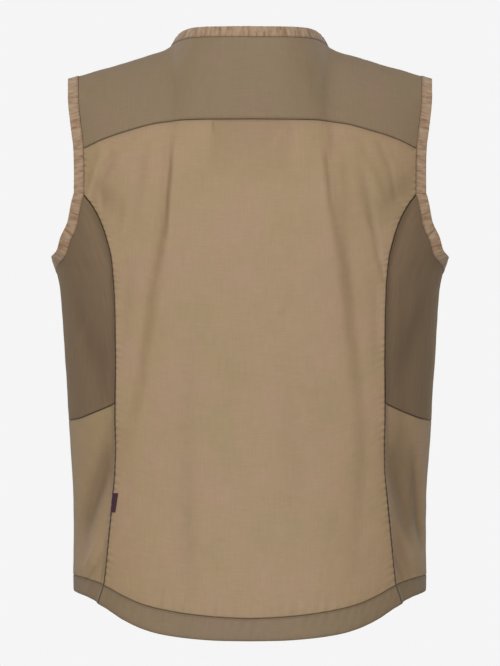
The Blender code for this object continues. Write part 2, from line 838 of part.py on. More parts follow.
def neck_band(yoke_back, yoke_fronts, fronts):
    """The band round the neck, from one side of the zip to the other."""
    right = [row for row in fronts[1][-1][: FRONT_NECK_COLUMNS + 1]]
    right += [row[0] for row in yoke_fronts[1][-2::-1]]
    left = [row for row in fronts[-1][-1][: FRONT_NECK_COLUMNS + 1]]
    left += [row[0] for row in yoke_fronts[-1][-2::-1]]
    back = yoke_back[-1][SHOULDER_COLUMNS + 1 : -SHOULDER_COLUMNS - 1]
    seam = left + back + right[::-1]
    grid = [[p + band_way(p) * BAND_HEIGHT * share for p in seam] for share in BAND_SHARES]
    return cloth("neck_band", [grid], TWILL, wall=BAND_WALL, proud=BAND_PROUD)


def zip_line(front, low, high, x_values, inset):
    """Rows of a strip behind the fronts' edges, from height low up to high metres above the neck seam."""
    column = [Vector((0, row[0].y, row[0].z)) for row in front]
    column.insert(0, Vector((0, column[0].y, low)))
    way = band_way(column[-1])
    column.append(column[-1] + way * high)
    rows = []
    for i, point in enumerate(column):
        along = (column[min(i + 1, len(column) - 1)] - column[max(i - 1, 0)]).normalized()
        inner = point - Vector((0, along.z, -along.y)) * inset
        rows.append([inner + Vector((x, 0, 0)) for x in x_values])
    return rows


def zip_strips(front):
    """The two tapes behind the fronts and the closed chain of teeth between them."""
    for side, name in ((-1, "zip_tape_left"), (1, "zip_tape_right")):
        xs = [side * ZIP_TAPE_INNER, side * ZIP_TAPE_OUTER]
        rows = zip_line(front, ZIP_END, BAND_HEIGHT, xs, CLOTH + ZIP_CLEAR)
        cloth(name, [rows], ZIP_FABRIC, wall=ZIP_TAPE_WALL, gap=0.0)
    chain_top = SLIDER_RISE + SLIDER_LENGTH / 2 - SLIDER_WEDGE_LENGTH - SEAM_GAP
    chain_foot = ZIP_END + ZIP_BOX_LENGTH + SEAM_GAP
    rows = zip_line(front, chain_foot, chain_top, [-ZIP_CHAIN_HALF, ZIP_CHAIN_HALF], ZIP_CHAIN_INSET)
    cloth("zip_chain", [rows], ZIP_PLASTIC, wall=ZIP_CHAIN_WALL, gap=0.0)


def block(name, low, high, finish, rounding):
    """A box between two corners, with rounded edges."""
    low, high = Vector(low), Vector(high)
    shape = bmesh.new()
    bmesh.ops.create_cube(shape, size=1.0)
    bmesh.ops.scale(shape, vec=high - low, verts=shape.verts)
    bmesh.ops.translate(shape, vec=(low + high) / 2, verts=shape.verts)
    bmesh.ops.bevel(shape, geom=shape.edges[:], offset=rounding, segments=2, affect="EDGES", profile=0.5)
    mesh = bpy.data.meshes.new(name)
    shape.to_mesh(mesh)
    shape.free()
    return add_object(name, mesh, finish)


def helper(made):
    """Takes an object out of the part: it is only there for a Boolean to read."""
    bpy.data.collections[COLLECTION].objects.unlink(made)
    bpy.data.collections[HELPERS].objects.link(made)
    made.hide_render = True
    made.display_type = "WIRE"


def join_to(made, others):
    for other in others:
        union = made.modifiers.new("union", "BOOLEAN")
        union.operation = "UNION"
        union.object = other
        helper(other)


def slider_place():
    """The slider's centre on the front face of the band, and how far it leans back, in radians."""
    neck = flat_point(0.0, -FRONT_NECK_DROP, True)
    way = band_way(neck)
    return neck + way * SLIDER_RISE, math.atan2(-way.y, way.z)


def zip_slider():
    """The slider at the top of the closed zip: two plates, the wedge that parts the teeth, and a bridge."""
    half, reach = SLIDER_HALF_WIDTH, SLIDER_LENGTH / 2
    plates = []
    for name, (low, high) in (("zip_slider", SLIDER_FRONT), ("slider_back", SLIDER_BACK)):
        plates.append(block(name, (-half, low, -reach), (half, high, reach), ZIP_METAL, PLATE_ROUNDING))
    front, back = plates
    wedge_low = (-SLIDER_WEDGE_HALF, SLIDER_BACK[1] - SLIDER_BITE, reach - SLIDER_WEDGE_LENGTH)
    wedge_high = (SLIDER_WEDGE_HALF, SLIDER_FRONT[0] + SLIDER_BITE, reach - SLIDER_BITE)
    wedge = block("slider_wedge", wedge_low, wedge_high, ZIP_METAL, WEDGE_ROUNDING)
    base = SLIDER_FRONT[1] - PLATE_ROUNDING
    under = SLIDER_FRONT[1] + BRIDGE_CLEAR
    across, ends = BRIDGE_HALF_WIDTH, BRIDGE_HALF_LENGTH
    span_low, span_high = (-across, under, -ends), (across, under + BRIDGE_WIRE, ends)
    span = block("slider_span", span_low, span_high, ZIP_METAL, SPAN_ROUNDING)
    legs = []
    for name, foot in (("slider_leg_low", -ends), ("slider_leg_high", ends - BRIDGE_WIRE)):
        low = (-across + LEG_SLIMMER, base, foot + LEG_SLIMMER)
        high = (across - LEG_SLIMMER, under + BRIDGE_WIRE / 2, foot + BRIDGE_WIRE - LEG_SLIMMER)
        legs.append(block(name, low, high, ZIP_METAL, WEDGE_ROUNDING))
    parts = [back, wedge, span, *legs]
    join_to(front, parts)
    place, lean = slider_place()
    for made in [front, *parts]:
        made.location = place
        made.rotation_euler = (lean, 0, 0)
    return front


def outline(curve, corners):
    """Adds a closed straight-sided outline to a flat curve."""
    spline = curve.splines.new("POLY")
    spline.points.add(len(corners) - 1)
    for point, (x, y) in zip(spline.points, corners):
        point.co = (x, y, 0, 1)
    spline.use_cyclic_u = True


def zip_pull():
    """The pull tab: a flat plate whose window goes round the slider's bridge. Its origin is on the pivot."""
    curve = bpy.data.curves.new("zip_pull", "CURVE")
    curve.dimensions = "2D"
    curve.fill_mode = "BOTH"
    curve.extrude = PULL_WALL / 2
    bar, window = PULL_BAR / 2, PULL_WINDOW_HALF
    neck, end = PULL_HALF_WIDTH, PULL_END_HALF_WIDTH
    half = [(neck - PULL_CORNER, bar), (neck, bar - PULL_CORNER), (neck, -bar - PULL_WINDOW_LENGTH)]
    half += [(end, -PULL_LENGTH * PULL_WIDENS_AT), (end, -PULL_LENGTH + PULL_END_CORNER)]
    for angle in (0, 30, 60):
        turn = math.radians(angle)
        x = end - PULL_END_CORNER * (1 - math.cos(turn))
        half.append((x, -PULL_LENGTH + PULL_END_CORNER * (1 - math.sin(turn))))
    outline(curve, half + [(-x, y) for x, y in reversed(half)])
    hole = [(window, -bar), (window, -bar - PULL_WINDOW_LENGTH)]
    outline(curve, hole + [(-x, y) for x, y in reversed(hole)])
    curve.materials.append(material(ZIP_METAL))
    made = bpy.data.objects.new("zip_pull", curve)
    bpy.data.collections[COLLECTION].objects.link(made)
    place, lean = slider_place()
    height = SLIDER_FRONT[1] + BRIDGE_CLEAR / 2
    made.location = place + Vector((0, math.cos(lean), math.sin(lean))) * height
    made.rotation_euler = (lean + math.radians(90), 0, 0)
    return made


def zip_box():
    """The box and pin that close the zip's lower end."""
    low = flat_point(0.0, ZIP_END, True)
    back = low.y - ZIP_CHAIN_INSET - ZIP_CHAIN_WALL - ZIP_BOX_PROUD
    return block(
        "zip_box",
        (-ZIP_BOX_HALF, back, ZIP_END),
        (ZIP_BOX_HALF, low.y + ZIP_BOX_PROUD, ZIP_END + ZIP_BOX_LENGTH),
        ZIP_PLASTIC,
        ZIP_BOX_ROUNDING,
    )


def side_label():
    """The folded woven tab that is caught in the left side seam and lies on the back panel."""
    grid = []
    for z in spread(LABEL_BOTTOM, LABEL_TOP, LABEL_ROWS):
        seam = -side_seam_x(z, False)
        row = []
        for x in (seam - LABEL_CAUGHT, seam + LABEL_REACH / 2, seam + LABEL_REACH):
            point = flat_point(x, z, False)
            flank = max(0.0, 1 - (abs(x) / value(FORM, "z", "half_width", z)) ** ROUNDNESS) ** (1 / ROUNDNESS)
            row.append(point + outward(x, z, flank, False) * (SEAM_GAP + LABEL_WALL))
        grid.append(row)
    return cloth("side_label", [grid], PLUM, wall=LABEL_WALL, gap=0.0)


COLLECTION = "wind_vest"
HELPERS = "boolean_helpers"


def clear_scene():
    for made in list(bpy.data.objects):
        bpy.data.objects.remove(made)
    for name in (COLLECTION, HELPERS):
        collection = bpy.data.collections.new(name)
        bpy.context.scene.collection.children.link(collection)
    bpy.data.collections[HELPERS].hide_render = True


def build():
    clear_scene()
    back = back_panel_points()
    yoke_back = yoke_back_points()
    cloth("back_panel", [back], TAN)
    yoke_fronts = {side: yoke_front_points(side) for side in (-1, 1)}
    cloth("yoke", [yoke_back, yoke_fronts[-1], yoke_fronts[1]], OLIVE)
    cloth("hem_back", [hem_back_points()], OLIVE)
    fronts = {}
    for side, word in ((-1, "left"), (1, "right")):
        fronts[side] = front_panel_points(side)
        lower, upper = side_panel_points(side)
        cloth(f"front_{word}", [fronts[side]], TAN)
        cloth(f"side_lower_{word}", [lower], TAN)
        cloth(f"side_upper_{word}", [upper], BROWN)
        cloth(f"hem_side_{word}", [hem_side_points(side)], OLIVE)
        cloth(f"hem_front_{word}", [hem_front_points(side)], OLIVE)
        beside = (back, yoke_back, yoke_fronts[side], fronts[side], upper)
        armhole_binding(f"armhole_binding_{word}", side, *beside)
    neck_band(yoke_back, yoke_fronts, fronts)
    zip_strips(fronts[1])
    zip_box()
    zip_slider()
    zip_pull()
    side_label()


build()
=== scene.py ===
# %% [markdown]
# # A wind vest, filled out as if worn
# The real vest is sewn from thin windproof cloth: a tan body, an olive yoke and hem band,
# knitted stretch sides, and ribbed tape round the neck and the armholes. It is hollow and
# stands open, in a chest's round shape. The CAD solids say where each panel lies. This
# script dresses them: it puts a finer cloth on the same form, with its folds, puckers,
# turned seams, thread and weave. First the solids are loaded, as a frame that never moves.

# %% Load the frame
import math
from functools import partial

import bpy
import numpy as np
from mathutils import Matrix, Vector, noise


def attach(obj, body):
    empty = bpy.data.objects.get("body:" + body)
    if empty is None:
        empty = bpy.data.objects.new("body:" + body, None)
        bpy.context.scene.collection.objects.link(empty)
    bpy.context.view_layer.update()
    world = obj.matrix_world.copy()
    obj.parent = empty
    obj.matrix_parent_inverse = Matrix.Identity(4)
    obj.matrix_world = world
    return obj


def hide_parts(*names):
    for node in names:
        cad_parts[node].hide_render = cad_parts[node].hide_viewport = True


SIDES = (("left", -1), ("right", 1))
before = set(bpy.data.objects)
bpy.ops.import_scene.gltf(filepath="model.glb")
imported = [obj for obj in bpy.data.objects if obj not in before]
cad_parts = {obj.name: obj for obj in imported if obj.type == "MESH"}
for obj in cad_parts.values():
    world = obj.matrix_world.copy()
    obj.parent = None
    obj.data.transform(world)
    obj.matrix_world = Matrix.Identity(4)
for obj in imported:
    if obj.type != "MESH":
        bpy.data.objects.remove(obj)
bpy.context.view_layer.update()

# %% [markdown]
# ## The form
# A garment's form is best kept as a few short tables, each one row for a level of the body. Every panel reads
# the same tables, so their seams meet. A cubic curve runs through a table's rows and never overshoots them.

# %% Tables and the curve through them
def table(text):
    """A table as a dictionary from each column's name, in the first line, to its values."""
    columns, *rows = text.strip().splitlines()
    return dict(zip(columns.split(), np.array([row.split() for row in rows], float).T))


def read(data, column, at):
    """The column's values where the first column is at, on a smooth curve through the rows."""
    keys, values = next(iter(data.values())), data[column]
    rises = np.diff(values) / np.diff(keys)
    before, after = rises[:-1], rises[1:]
    together = before * after > 0
    inner = np.where(together, 2 * before * after / np.where(together, before + after, 1), 0)
    slopes = np.concatenate([rises[:1], inner, rises[-1:]])
    at = np.clip(at, keys[0], keys[-1])
    i = np.clip(np.searchsorted(keys, at, side="right") - 1, 0, len(keys) - 2)
    width = (keys[1:] - keys[:-1])[i]
    t = (at - keys[i]) / width
    curve = t * t * (3 - 2 * t) * (values[i + 1] - values[i])
    bend = t * (1 - t) * ((1 - t) * slopes[i] - t * slopes[i + 1]) * width
    return values[i] + curve + bend


def between_points(at, known, points):
    """The places on a line of points at the values at, where the points themselves have the known values."""
    return np.stack([np.interp(at, known, column) for column in points.T], axis=-1)


FORM = table("""
z half_width back_depth front_depth
-0.69 0.202 0.125 0.117
-0.6 0.2028 0.122 0.116
-0.522 0.2025 0.12 0.116
-0.476 0.205 0.12 0.116
-0.43 0.2086 0.121 0.117
-0.37 0.212 0.124 0.118
-0.3 0.2163 0.127 0.12
-0.28 0.218 0.128 0.121
-0.256 0.2232 0.129 0.122
-0.244 0.2285 0.1295 0.122
-0.21 0.2315 0.13 0.122
-0.15 0.232 0.127 0.118
-0.085 0.232 0.118 0.108
-0.04 0.232 0.11 0.098
0 0.232 0.103 0.09
0.06 0.232 0.095 0.084
""")
CREST = table("""
x z
0 0.052
0.03 0.049
0.06 0.0335
0.079 0.014
0.09 0
0.101 -0.006
0.117 -0.011
0.133 -0.016
0.157 -0.0232
0.177 -0.0287
0.193 -0.0338
0.208 -0.0372
0.232 -0.045
""")
print("Form levels:", len(FORM["z"]))

# %% [markdown]
# Seen from above, a chest is a rounded box: a superellipse, whose exponent says how square it is. Seen from
# the side, the cloth rolls over the shoulder from level, at the crest, to upright, at a roll of 90 degrees.

# %% A point on the form
ROUNDNESS = 2.4
BACK_ROLL = 0.165
FRONT_ROLL = 0.150
NECK_HALF_WIDTH = 0.0900
FRONT_NECK_DROP = 0.075


def flank_at(x, z):
    """How much of the body's depth is left at x: 1 in the middle and 0 at the side."""
    share = np.clip(np.abs(x) / read(FORM, "half_width", z), 0, 1)
    return (1 - share**ROUNDNESS) ** (1 / ROUNDNESS)


def roll_of(x, z, front):
    """How far the cloth has rolled over the shoulder, in radians."""
    height = np.where(front, FRONT_ROLL, BACK_ROLL)
    share = (read(CREST, "z", np.abs(x)) - z) / height
    return np.arccos(1 - np.clip(share, 0, 1))


def plain(x, z, flank, roll, front):
    depth = np.where(front, read(FORM, "front_depth", z), read(FORM, "back_depth", z))
    y = depth * flank * np.sin(roll)
    return np.stack([x, np.where(front, y, -y), z], axis=-1)


def angle_of(x, z, front):
    """Where x lies round the body, in degrees: 0 behind, 90 at the side and 180 in front."""
    share = np.clip(np.abs(x) / read(FORM, "half_width", z), 0, 1)
    angle = np.degrees(np.arcsin(share ** (ROUNDNESS / 2)))
    return np.copysign(np.where(front, 180 - angle, angle), x)


# %% [markdown]
# ## The folds
# This cloth is light and crisp. It hangs in two long soft folds from the shoulder
# blades, opens from a box pleat under the yoke, and drags a little towards the armholes.
# The solids have the two long folds as well. Creases are listed one by one: each is a line
# from one point to another, with its own height and width, so no two are alike.

# %% The large folds
DRAPE = table("""
z left_x right_x
-0.46 -0.134 0.124
-0.4 -0.121 0.117
-0.336 -0.112 0.11
-0.272 -0.103 0.103
-0.207 -0.094 0.096
-0.143 -0.0875 0.087
-0.085 -0.087 0.083
""")
DRAPE_STRENGTH = table("""
z share
-0.52 0
-0.42 0.45
-0.3 1
-0.17 1
-0.115 0.35
-0.084 0
""")
YOKE_SEAM = table("""
x z
0 -0.0853
0.068 -0.0857
0.103 -0.0892
0.138 -0.0977
0.166 -0.1068
0.192 -0.1189
""")
DRAPE_STEP_LEFT = 0.008
DRAPE_STEP_RIGHT = 0.0056
DRAPE_EDGE = 0.016
DRAPE_REACH = 0.050
SIDE_SEAM = table("""
z back_x front_x
-0.645 0.176 0.176
-0.6379 0.1738 0.1738
-0.6187 0.1677 0.1677
-0.5856 0.1639 0.1639
-0.5486 0.16 0.16
-0.5147 0.1569 0.1569
-0.4839 0.1552 0.1552
-0.4168 0.1549 0.1549
-0.3683 0.1549 0.1549
-0.32 0.1553 0.1553
-0.2796 0.1565 0.1566
-0.2473 0.159 0.16
-0.219 0.1655 0.166
-0.2011 0.1719 0.1718
-0.185 0.1803 0.178
-0.1713 0.1905 0.185
""")
RIDGE_SHARE = table("""
z share
-0.69 0.5
-0.6 0.9
-0.5 1
-0.32 1
-0.25 0.6
-0.2 0
""")
RIDGE_RISE = 0.0062
RIDGE_INNER = 0.034
RIDGE_OUTER = 0.013
PLEAT_MIDDLE = 0.0029
PLEAT_HALF_WIDTH = 0.0460
PLEAT_DEPTH = 0.0026
PLEAT_EDGE = 0.010
PLEAT_LENGTH = 0.085


def smoothstep(low, high, at):
    t = np.clip((at - low) / (high - low), 0, 1)
    return t * t * (3 - 2 * t)


def drape_fold(x, z):
    """The middle of the back stands out from its two sides, with a soft step between."""
    line = np.where(x < 0, read(DRAPE, "left_x", z), read(DRAPE, "right_x", z))
    beyond = (x - line) * np.sign(x)
    fade = np.exp(-np.abs(beyond / DRAPE_REACH) ** 1.5)
    step = 0.5 - smoothstep(-DRAPE_EDGE / 4, DRAPE_EDGE, beyond)
    height = np.where(x < 0, DRAPE_STEP_LEFT, DRAPE_STEP_RIGHT)
    return height * step * fade * read(DRAPE_STRENGTH, "share", z)


def pleat_fold(x, z):
    """The box pleat sets the middle in. Its two edges are crisp under the yoke and soften further down."""
    below = np.clip((read(YOKE_SEAM, "z", np.abs(x)) - z) / PLEAT_LENGTH, 0, 1)
    soft = PLEAT_EDGE * np.clip(below / 0.35, 0.15, 1)
    inside = 1 - smoothstep(-soft, soft, np.abs(x - PLEAT_MIDDLE) - PLEAT_HALF_WIDTH)
    return -PLEAT_DEPTH * inside * smoothstep(0, 0.06, below) * (1 - smoothstep(0.12, 1, below))


def seam_ridge(x, z, front):
    """The side seams stand proud as soft corners, between the flat back or front and the side."""
    seam = np.where(front, read(SIDE_SEAM, "front_x", z), read(SIDE_SEAM, "back_x", z))
    beyond = np.abs(x) - seam
    width = np.where(beyond < 0, RIDGE_INNER, RIDGE_OUTER)
    return RIDGE_RISE * read(RIDGE_SHARE, "share", z) * np.exp(-np.abs(beyond) / width)


# %% The creases, all in millimetres: front 0 is the back, and those of side 0 are on both sides
CREASES = table("""
front side x_from z_from x_to z_to height width
0 0 160 -455 196 -565 -4 15
0 0 188 -150 150 -195 -1.8 13
0 0 199 -290 172 -380 -2.2 14
1 0 174 -170 120 -260 -4 18
1 0 100 -110 88 -240 -3.5 20
1 0 125 -390 105 -560 -3.5 20
1 0 160 -460 196 -560 -3.8 15
0 -1 -90.8 -105 -92.8 -160 -0.9 2.3
0 -1 -92.6 -135 -97.8 -220 -1.9 3
0 -1 -97.5 -200 -107.5 -260 -1.4 4.5
0 -1 -85.6 -101 -88 -165 0.9 2.6
0 -1 -88.5 -150 -92.5 -215 0.8 2.8
0 1 87 -120 93.2 -190 -1.1 3
0 1 93.2 -180 104 -240 -0.7 4.5
0 1 108.5 -230 121 -295 -0.7 7
0 1 98 -115 109 -215 1.6 6
0 1 88 -92 88.5 -125 1.2 5
0 1 79 -110 88 -210 0.7 3.6
0 -1 -124 -96 -133 -124 1.2 2.8
0 -1 -140 -108 -154 -145 1.3 3.4
0 -1 -170 -118 -186 -175 1.5 3.8
0 -1 -156 -123 -170 -160 -1.3 3.6
0 -1 -118 -115 -130 -190 -1.3 5
0 -1 -138 -170 -148 -220 1.2 4.2
0 1 128 -143 148 -240 -1.7 4.5
0 1 123 -103 136 -140 -1.2 2.8
0 1 145 -104 160 -140 -1.3 3
0 1 159 -135 168 -180 -1.2 3.4
0 1 145 -235 156 -275 -1.3 3.2
0 1 138 -108 150 -140 0.9 2.4
0 -1 -141.5 -111.6 -148.4 -126.5 -1 2.2
0 -1 -131.1 -102.4 -139.2 -116.2 -0.9 2
0 -1 -158.7 -119.6 -167.9 -138 -1.1 2.4
0 -1 -170.8 -165.6 -167.3 -188.6 -0.6 2.2
0 -1 -177.1 -165.6 -172.5 -190.9 1 2.2
0 1 133 -130 152 -180 1.3 4.2
0 1 37 -94 26 -120 1.1 2.4
0 -1 -43.5 -87 -44 -101 1 1.7
0 1 50 -87 50.5 -101 1 1.7
0 1 176 -430 179 -610 -4.5 16
0 1 173 -280 176 -450 -1.4 12
0 1 189 -465 197.5 -575 -4.5 8
0 -1 -164 -440 -192.5 -585 -2.8 9
0 -1 -170 -290 -171 -430 -1.6 11
0 -1 -75 -442 -69 -637 -1.1 11
0 -1 -69 -330 -72 -460 -0.6 12
0 1 40 -360 52 -560 -0.5 14
0 1 129 -430 125 -600 -0.8 9
0 -1 -138 -250 -146 -350 -0.8 7
0 1 142 -270 148 -370 -0.8 7
0 -1 -183 -307 -206 -362 0.9 4.5
0 -1 -209 -248 -213 -275 0.6 3
0 1 190 -265 179 -345 0.8 5
0 -1 -167 -557 -190 -603 2.2 5.5
0 -1 -164 -585 -176 -615 -1.3 3.2
0 -1 -176 -592 -190 -618 -1.4 3.4
0 1 170 -545 190 -595 1.8 5
0 1 166 -582 180 -613 -1.3 3.4
1 -1 -170 -90 -130 -150 -1.4 6
1 1 166 -85 135 -142 -1.2 5
1 -1 -150 -210 -135 -310 -1 6
1 1 148 -230 138 -340 -1.2 7
1 0 50 -150 35 -300 -1.1 9
1 0 60 -340 45 -520 -0.9 11
1 -1 -140 -560 -125 -610 -0.7 4
1 1 145 -550 130 -605 -0.7 4
""")


CREASE_STEPS = 17


def crease_height(points):
    """What the creases add, in metres. A crease follows the form, and is highest halfway along."""
    total = np.zeros(points.shape[:-1])
    for row in zip(*CREASES.values()):
        front, side, x_from, z_from, x_to, z_to, height, width = row
        for sign in ((-1, 1) if side == 0 else (side,)):
            xs = np.linspace(abs(x_from), abs(x_to), CREASE_STEPS) / 1000 * sign
            zs = np.linspace(z_from, z_to, CREASE_STEPS) / 1000
            route = plain(xs, zs, flank_at(xs, zs), roll_of(xs, zs, front > 0), front > 0)
            line = route[-1] - route[0]
            shares = (route - route[0]) @ line / (line @ line)
            share = np.clip((points - route[0]) @ line / (line @ line), 0, 1)
            nearest = between_points(share, shares, route)
            away = np.linalg.norm(points - nearest, axis=-1) * 1000 / width
            total += height / 1000 * np.exp(-(away**2)) * np.sin(math.pi * (0.1 + 0.8 * share))
    return total


def folded(points, flank, front, bare):
    """Unless bare, the points moved out by the folds and creases, and back or forward by the ridge."""
    if bare:
        return points
    x, z = points[..., 0], points[..., 2]
    rise = crease_height(points) + np.where(front, 0, drape_fold(x, z) + pleat_fold(x, z))
    ridge = seam_ridge(x, z, front) * np.where(front, 1, -1)
    half = read(FORM, "half_width", z)
    depth = np.where(front, read(FORM, "front_depth", z), read(FORM, "back_depth", z))
    across = np.copysign((np.abs(x) / half) ** (ROUNDNESS - 1) / half, x)
    along = flank ** (ROUNDNESS - 1) / depth
    outward = np.stack([across, np.where(front, along, -along), np.zeros_like(across)], axis=-1)
    outward /= np.linalg.norm(outward, axis=-1, keepdims=True)
    return points + outward * rise[..., None] + ridge[..., None] * np.array([0, 1, 0])


# %% [markdown]
# A panel's points are worked out in two flat coordinates that suit it: x
# and height for the back and the fronts, angle and height for the sides
# and the hem band, x and roll for the yoke, which lies over the shoulders.

# %% Three ways to name a point of the cloth
def flat_side(front, pairs, bare=False):
    """The back's or the fronts' cloth at (x, z)."""
    x, z = pairs[..., 0], pairs[..., 1]
    flank = flank_at(x, z)
    return folded(plain(x, z, flank, roll_of(x, z, front), front), flank, front, bare)


behind, in_front = partial(flat_side, False), partial(flat_side, True)


def round_body(pairs, bare=False):
    """The sides' and hem's cloth at (angle, z)."""
    turn, z = np.radians(pairs[..., 0]), pairs[..., 1]
    front = np.cos(turn) < 0
    x = np.copysign(read(FORM, "half_width", z) * np.abs(np.sin(turn)) ** (2 / ROUNDNESS), turn)
    flank = np.abs(np.cos(turn)) ** (2 / ROUNDNESS)
    return folded(plain(x, z, flank, roll_of(x, z, front), front), flank, front, bare)


def over_shoulder(pairs, bare=False):
    """The yoke's cloth at (x, roll), where the roll in radians is negative before the crest."""
    x, roll = pairs[..., 0], pairs[..., 1]
    front = roll < 0
    z = read(CREST, "z", np.abs(x)) - np.where(front, FRONT_ROLL, BACK_ROLL) * (1 - np.cos(roll))
    flank = flank_at(x, z)
    return folded(plain(x, z, flank, np.abs(roll), front), flank, front, bare)


# %% [markdown]
# ## Seam lines
# Each seam is drawn once, in its own coordinates, and both panels beside it use it.

# %% Seam tables
ARMHOLE_BACK = table("""
z x
-0.1713 0.1905
-0.1479 0.1906
-0.1189 0.1912
-0.0863 0.1949
-0.0576 0.1976
-0.035 0.1978
""")
ARMHOLE_FRONT = table("""
z x
-0.185 0.178
-0.16 0.1762
-0.13 0.1782
-0.1 0.1835
-0.0735 0.19
-0.0576 0.194
-0.035 0.1978
""")
UNDERARM_BACK = table("""
x z
0.1905 -0.1713
0.1932 -0.1817
0.1986 -0.2076
0.2059 -0.224
0.2128 -0.243
0.2216 -0.2546
""")
UNDERARM_FRONT = table("""
x z
0.213 -0.252
0.201 -0.238
0.1895 -0.221
0.1818 -0.2035
0.178 -0.185
""")
UNDERARM_BOTTOM = table("""
angle z
90 -0.26
99 -0.2622
""")
SIDE_STEP = table("""
angle z
44 -0.4103
57.7 -0.4224
69.5 -0.4288
90 -0.4312
110 -0.4288
123 -0.4224
137 -0.4103
""")
HEM = table("""
angle top bottom
0 -0.6561 -0.682
6.7 -0.6546 -0.6815
14.7 -0.6518 -0.6795
25.8 -0.6458 -0.6745
33.4 -0.6402 -0.6685
41.9 -0.631 -0.6588
52.9 -0.6187 -0.6442
70 -0.6102 -0.6305
90 -0.6075 -0.6265
110 -0.6085 -0.6275
127 -0.611 -0.632
150 -0.6165 -0.6395
180 -0.6215 -0.6455
""")
BACK_NECK = table("""
x z
0 0.0098
0.05 0.0096
0.068 0.0089
0.08 0.0064
0.087 0.003
0.09 0
""")

# %% Helpers that put seams together
DENSE = 161
YOKE_ROW_BACK, YOKE_ROW_FRONT = 2, 4
HEM_SEAM_ROW = 6
HEM_SEAM_TURN = 4.0
YOKE_CORNER_ANGLE = 66.0
FRONT_YOKE_DROP = 0.0405
ZIP_HALF_GAP = 0.0048


def pairs_of(first, second):
    return np.stack(np.broadcast_arrays(first, second), axis=-1).astype(float)


def lengths_along(points):
    """How far along its line each point lies, in metres; a grid's lines run up its columns."""
    steps = np.linalg.norm(np.diff(points, axis=0), axis=-1)
    return np.concatenate([0 * steps[:1], np.cumsum(steps, axis=0)])


def evenly(pairs, place, count=DENSE):
    """The line's pairs, spaced evenly along the cloth."""
    lengths = lengths_along(place(pairs))
    targets = np.linspace(0, lengths[-1], count)
    return between_points(targets, lengths, pairs)


def through(knots, steps=24):
    """A smooth curve through pairs (Catmull-Rom)."""
    knots = np.vstack([knots[:1], knots, knots[-1:]])
    made = []
    for a, b, c, d in zip(knots, knots[1:], knots[2:], knots[3:]):
        t = np.linspace(0, 1, steps, endpoint=False)[:, None]
        second, third = 2 * a - 5 * b + 4 * c - d, 3 * b - a - 3 * c + d
        made.append((2 * b + (c - a) * t + second * t**2 + third * t**3) / 2)
    return np.vstack([*made, knots[-1:]])


def turned(pairs):
    """The same line from its other end."""
    return pairs[::-1]


def on_left(pairs):
    return pairs * np.array([-1, 1])


# %% Side seams, underarm and hem
HEM_FRONT_ANGLE = 127.0


def side_seam(front, low, high):
    z = np.linspace(low, high, DENSE)
    return pairs_of(read(SIDE_SEAM, "front_x" if front else "back_x", z), z)


def side_foot(front):
    return float(read(HEM, "top", HEM_FRONT_ANGLE)) if front else HEM["top"][HEM_SEAM_ROW]


def armhole_edge(front):
    """The armhole from the top of the side seam up to the yoke."""
    data = ARMHOLE_FRONT if front else ARMHOLE_BACK
    z = np.linspace(data["z"][0], data["z"][YOKE_ROW_FRONT if front else YOKE_ROW_BACK], DENSE)
    return pairs_of(read(data, "x", z), z)


def as_angles(pairs, front):
    return pairs_of(angle_of(pairs[:, 0], pairs[:, 1], front), pairs[:, 1])


def underarm():
    """The armhole below the arm as (angle, z), from behind to before."""
    back = as_angles(pairs_of(UNDERARM_BACK["x"], UNDERARM_BACK["z"]), False)
    front = as_angles(pairs_of(UNDERARM_FRONT["x"], UNDERARM_FRONT["z"]), True)
    bottom = pairs_of(UNDERARM_BOTTOM["angle"], UNDERARM_BOTTOM["z"])
    return evenly(through(np.vstack([back, bottom, front])), round_body)


def hem_line(column, start, end):
    angle = np.linspace(start, end, DENSE)
    return pairs_of(angle, read(HEM, column, np.abs(angle)))


def foot_angle(front):
    """Where the side seam meets the hem band, round the body."""
    foot = side_seam(front, side_foot(front), side_foot(front) + 0.01)[:1]
    return float(as_angles(foot, front)[0, 0])


print("Side seams meet the hem band at", round(foot_angle(False)), "and", round(foot_angle(True)), "degrees")

# %% Neck and yoke
def front_neck(angle):
    """The front neck seam as (x, z): 90 degrees at the neck point, 0 at the centre."""
    turn = np.radians(angle)
    return pairs_of(NECK_HALF_WIDTH * np.sin(turn), -FRONT_NECK_DROP * np.cos(turn))


def rolled(pairs, front):
    """(x, z) pairs as (x, roll) pairs."""
    roll = roll_of(pairs[:, 0], pairs[:, 1], front)
    return pairs_of(pairs[:, 0], -roll if front else roll)


def front_yoke_seam():
    """From the neck out to the armhole, as (x, z)."""
    neck = front_neck(YOKE_CORNER_ANGLE)
    arm = np.array([ARMHOLE_FRONT[axis][YOKE_ROW_FRONT] for axis in "xz"])
    x = np.linspace(neck[0], arm[0], DENSE)
    z = read(CREST, "z", x) - FRONT_YOKE_DROP
    share = np.linspace(0, 1, DENSE)
    z += (1 - share) * (neck[1] - z[0]) + share * (arm[1] - z[-1])
    return pairs_of(x, z)


def armhole_over(front, end_roll):
    """The armhole from the crest down to a roll, as (x, roll)."""
    data = ARMHOLE_FRONT if front else ARMHOLE_BACK
    height = FRONT_ROLL if front else BACK_ROLL
    roll = np.linspace(0, abs(end_roll), DENSE)
    x = np.full(DENSE, data["x"][-1])
    for _ in range(6):
        x = read(data, "x", read(CREST, "z", x) - height * (1 - np.cos(roll)))
    return pairs_of(x, -roll if front else roll)


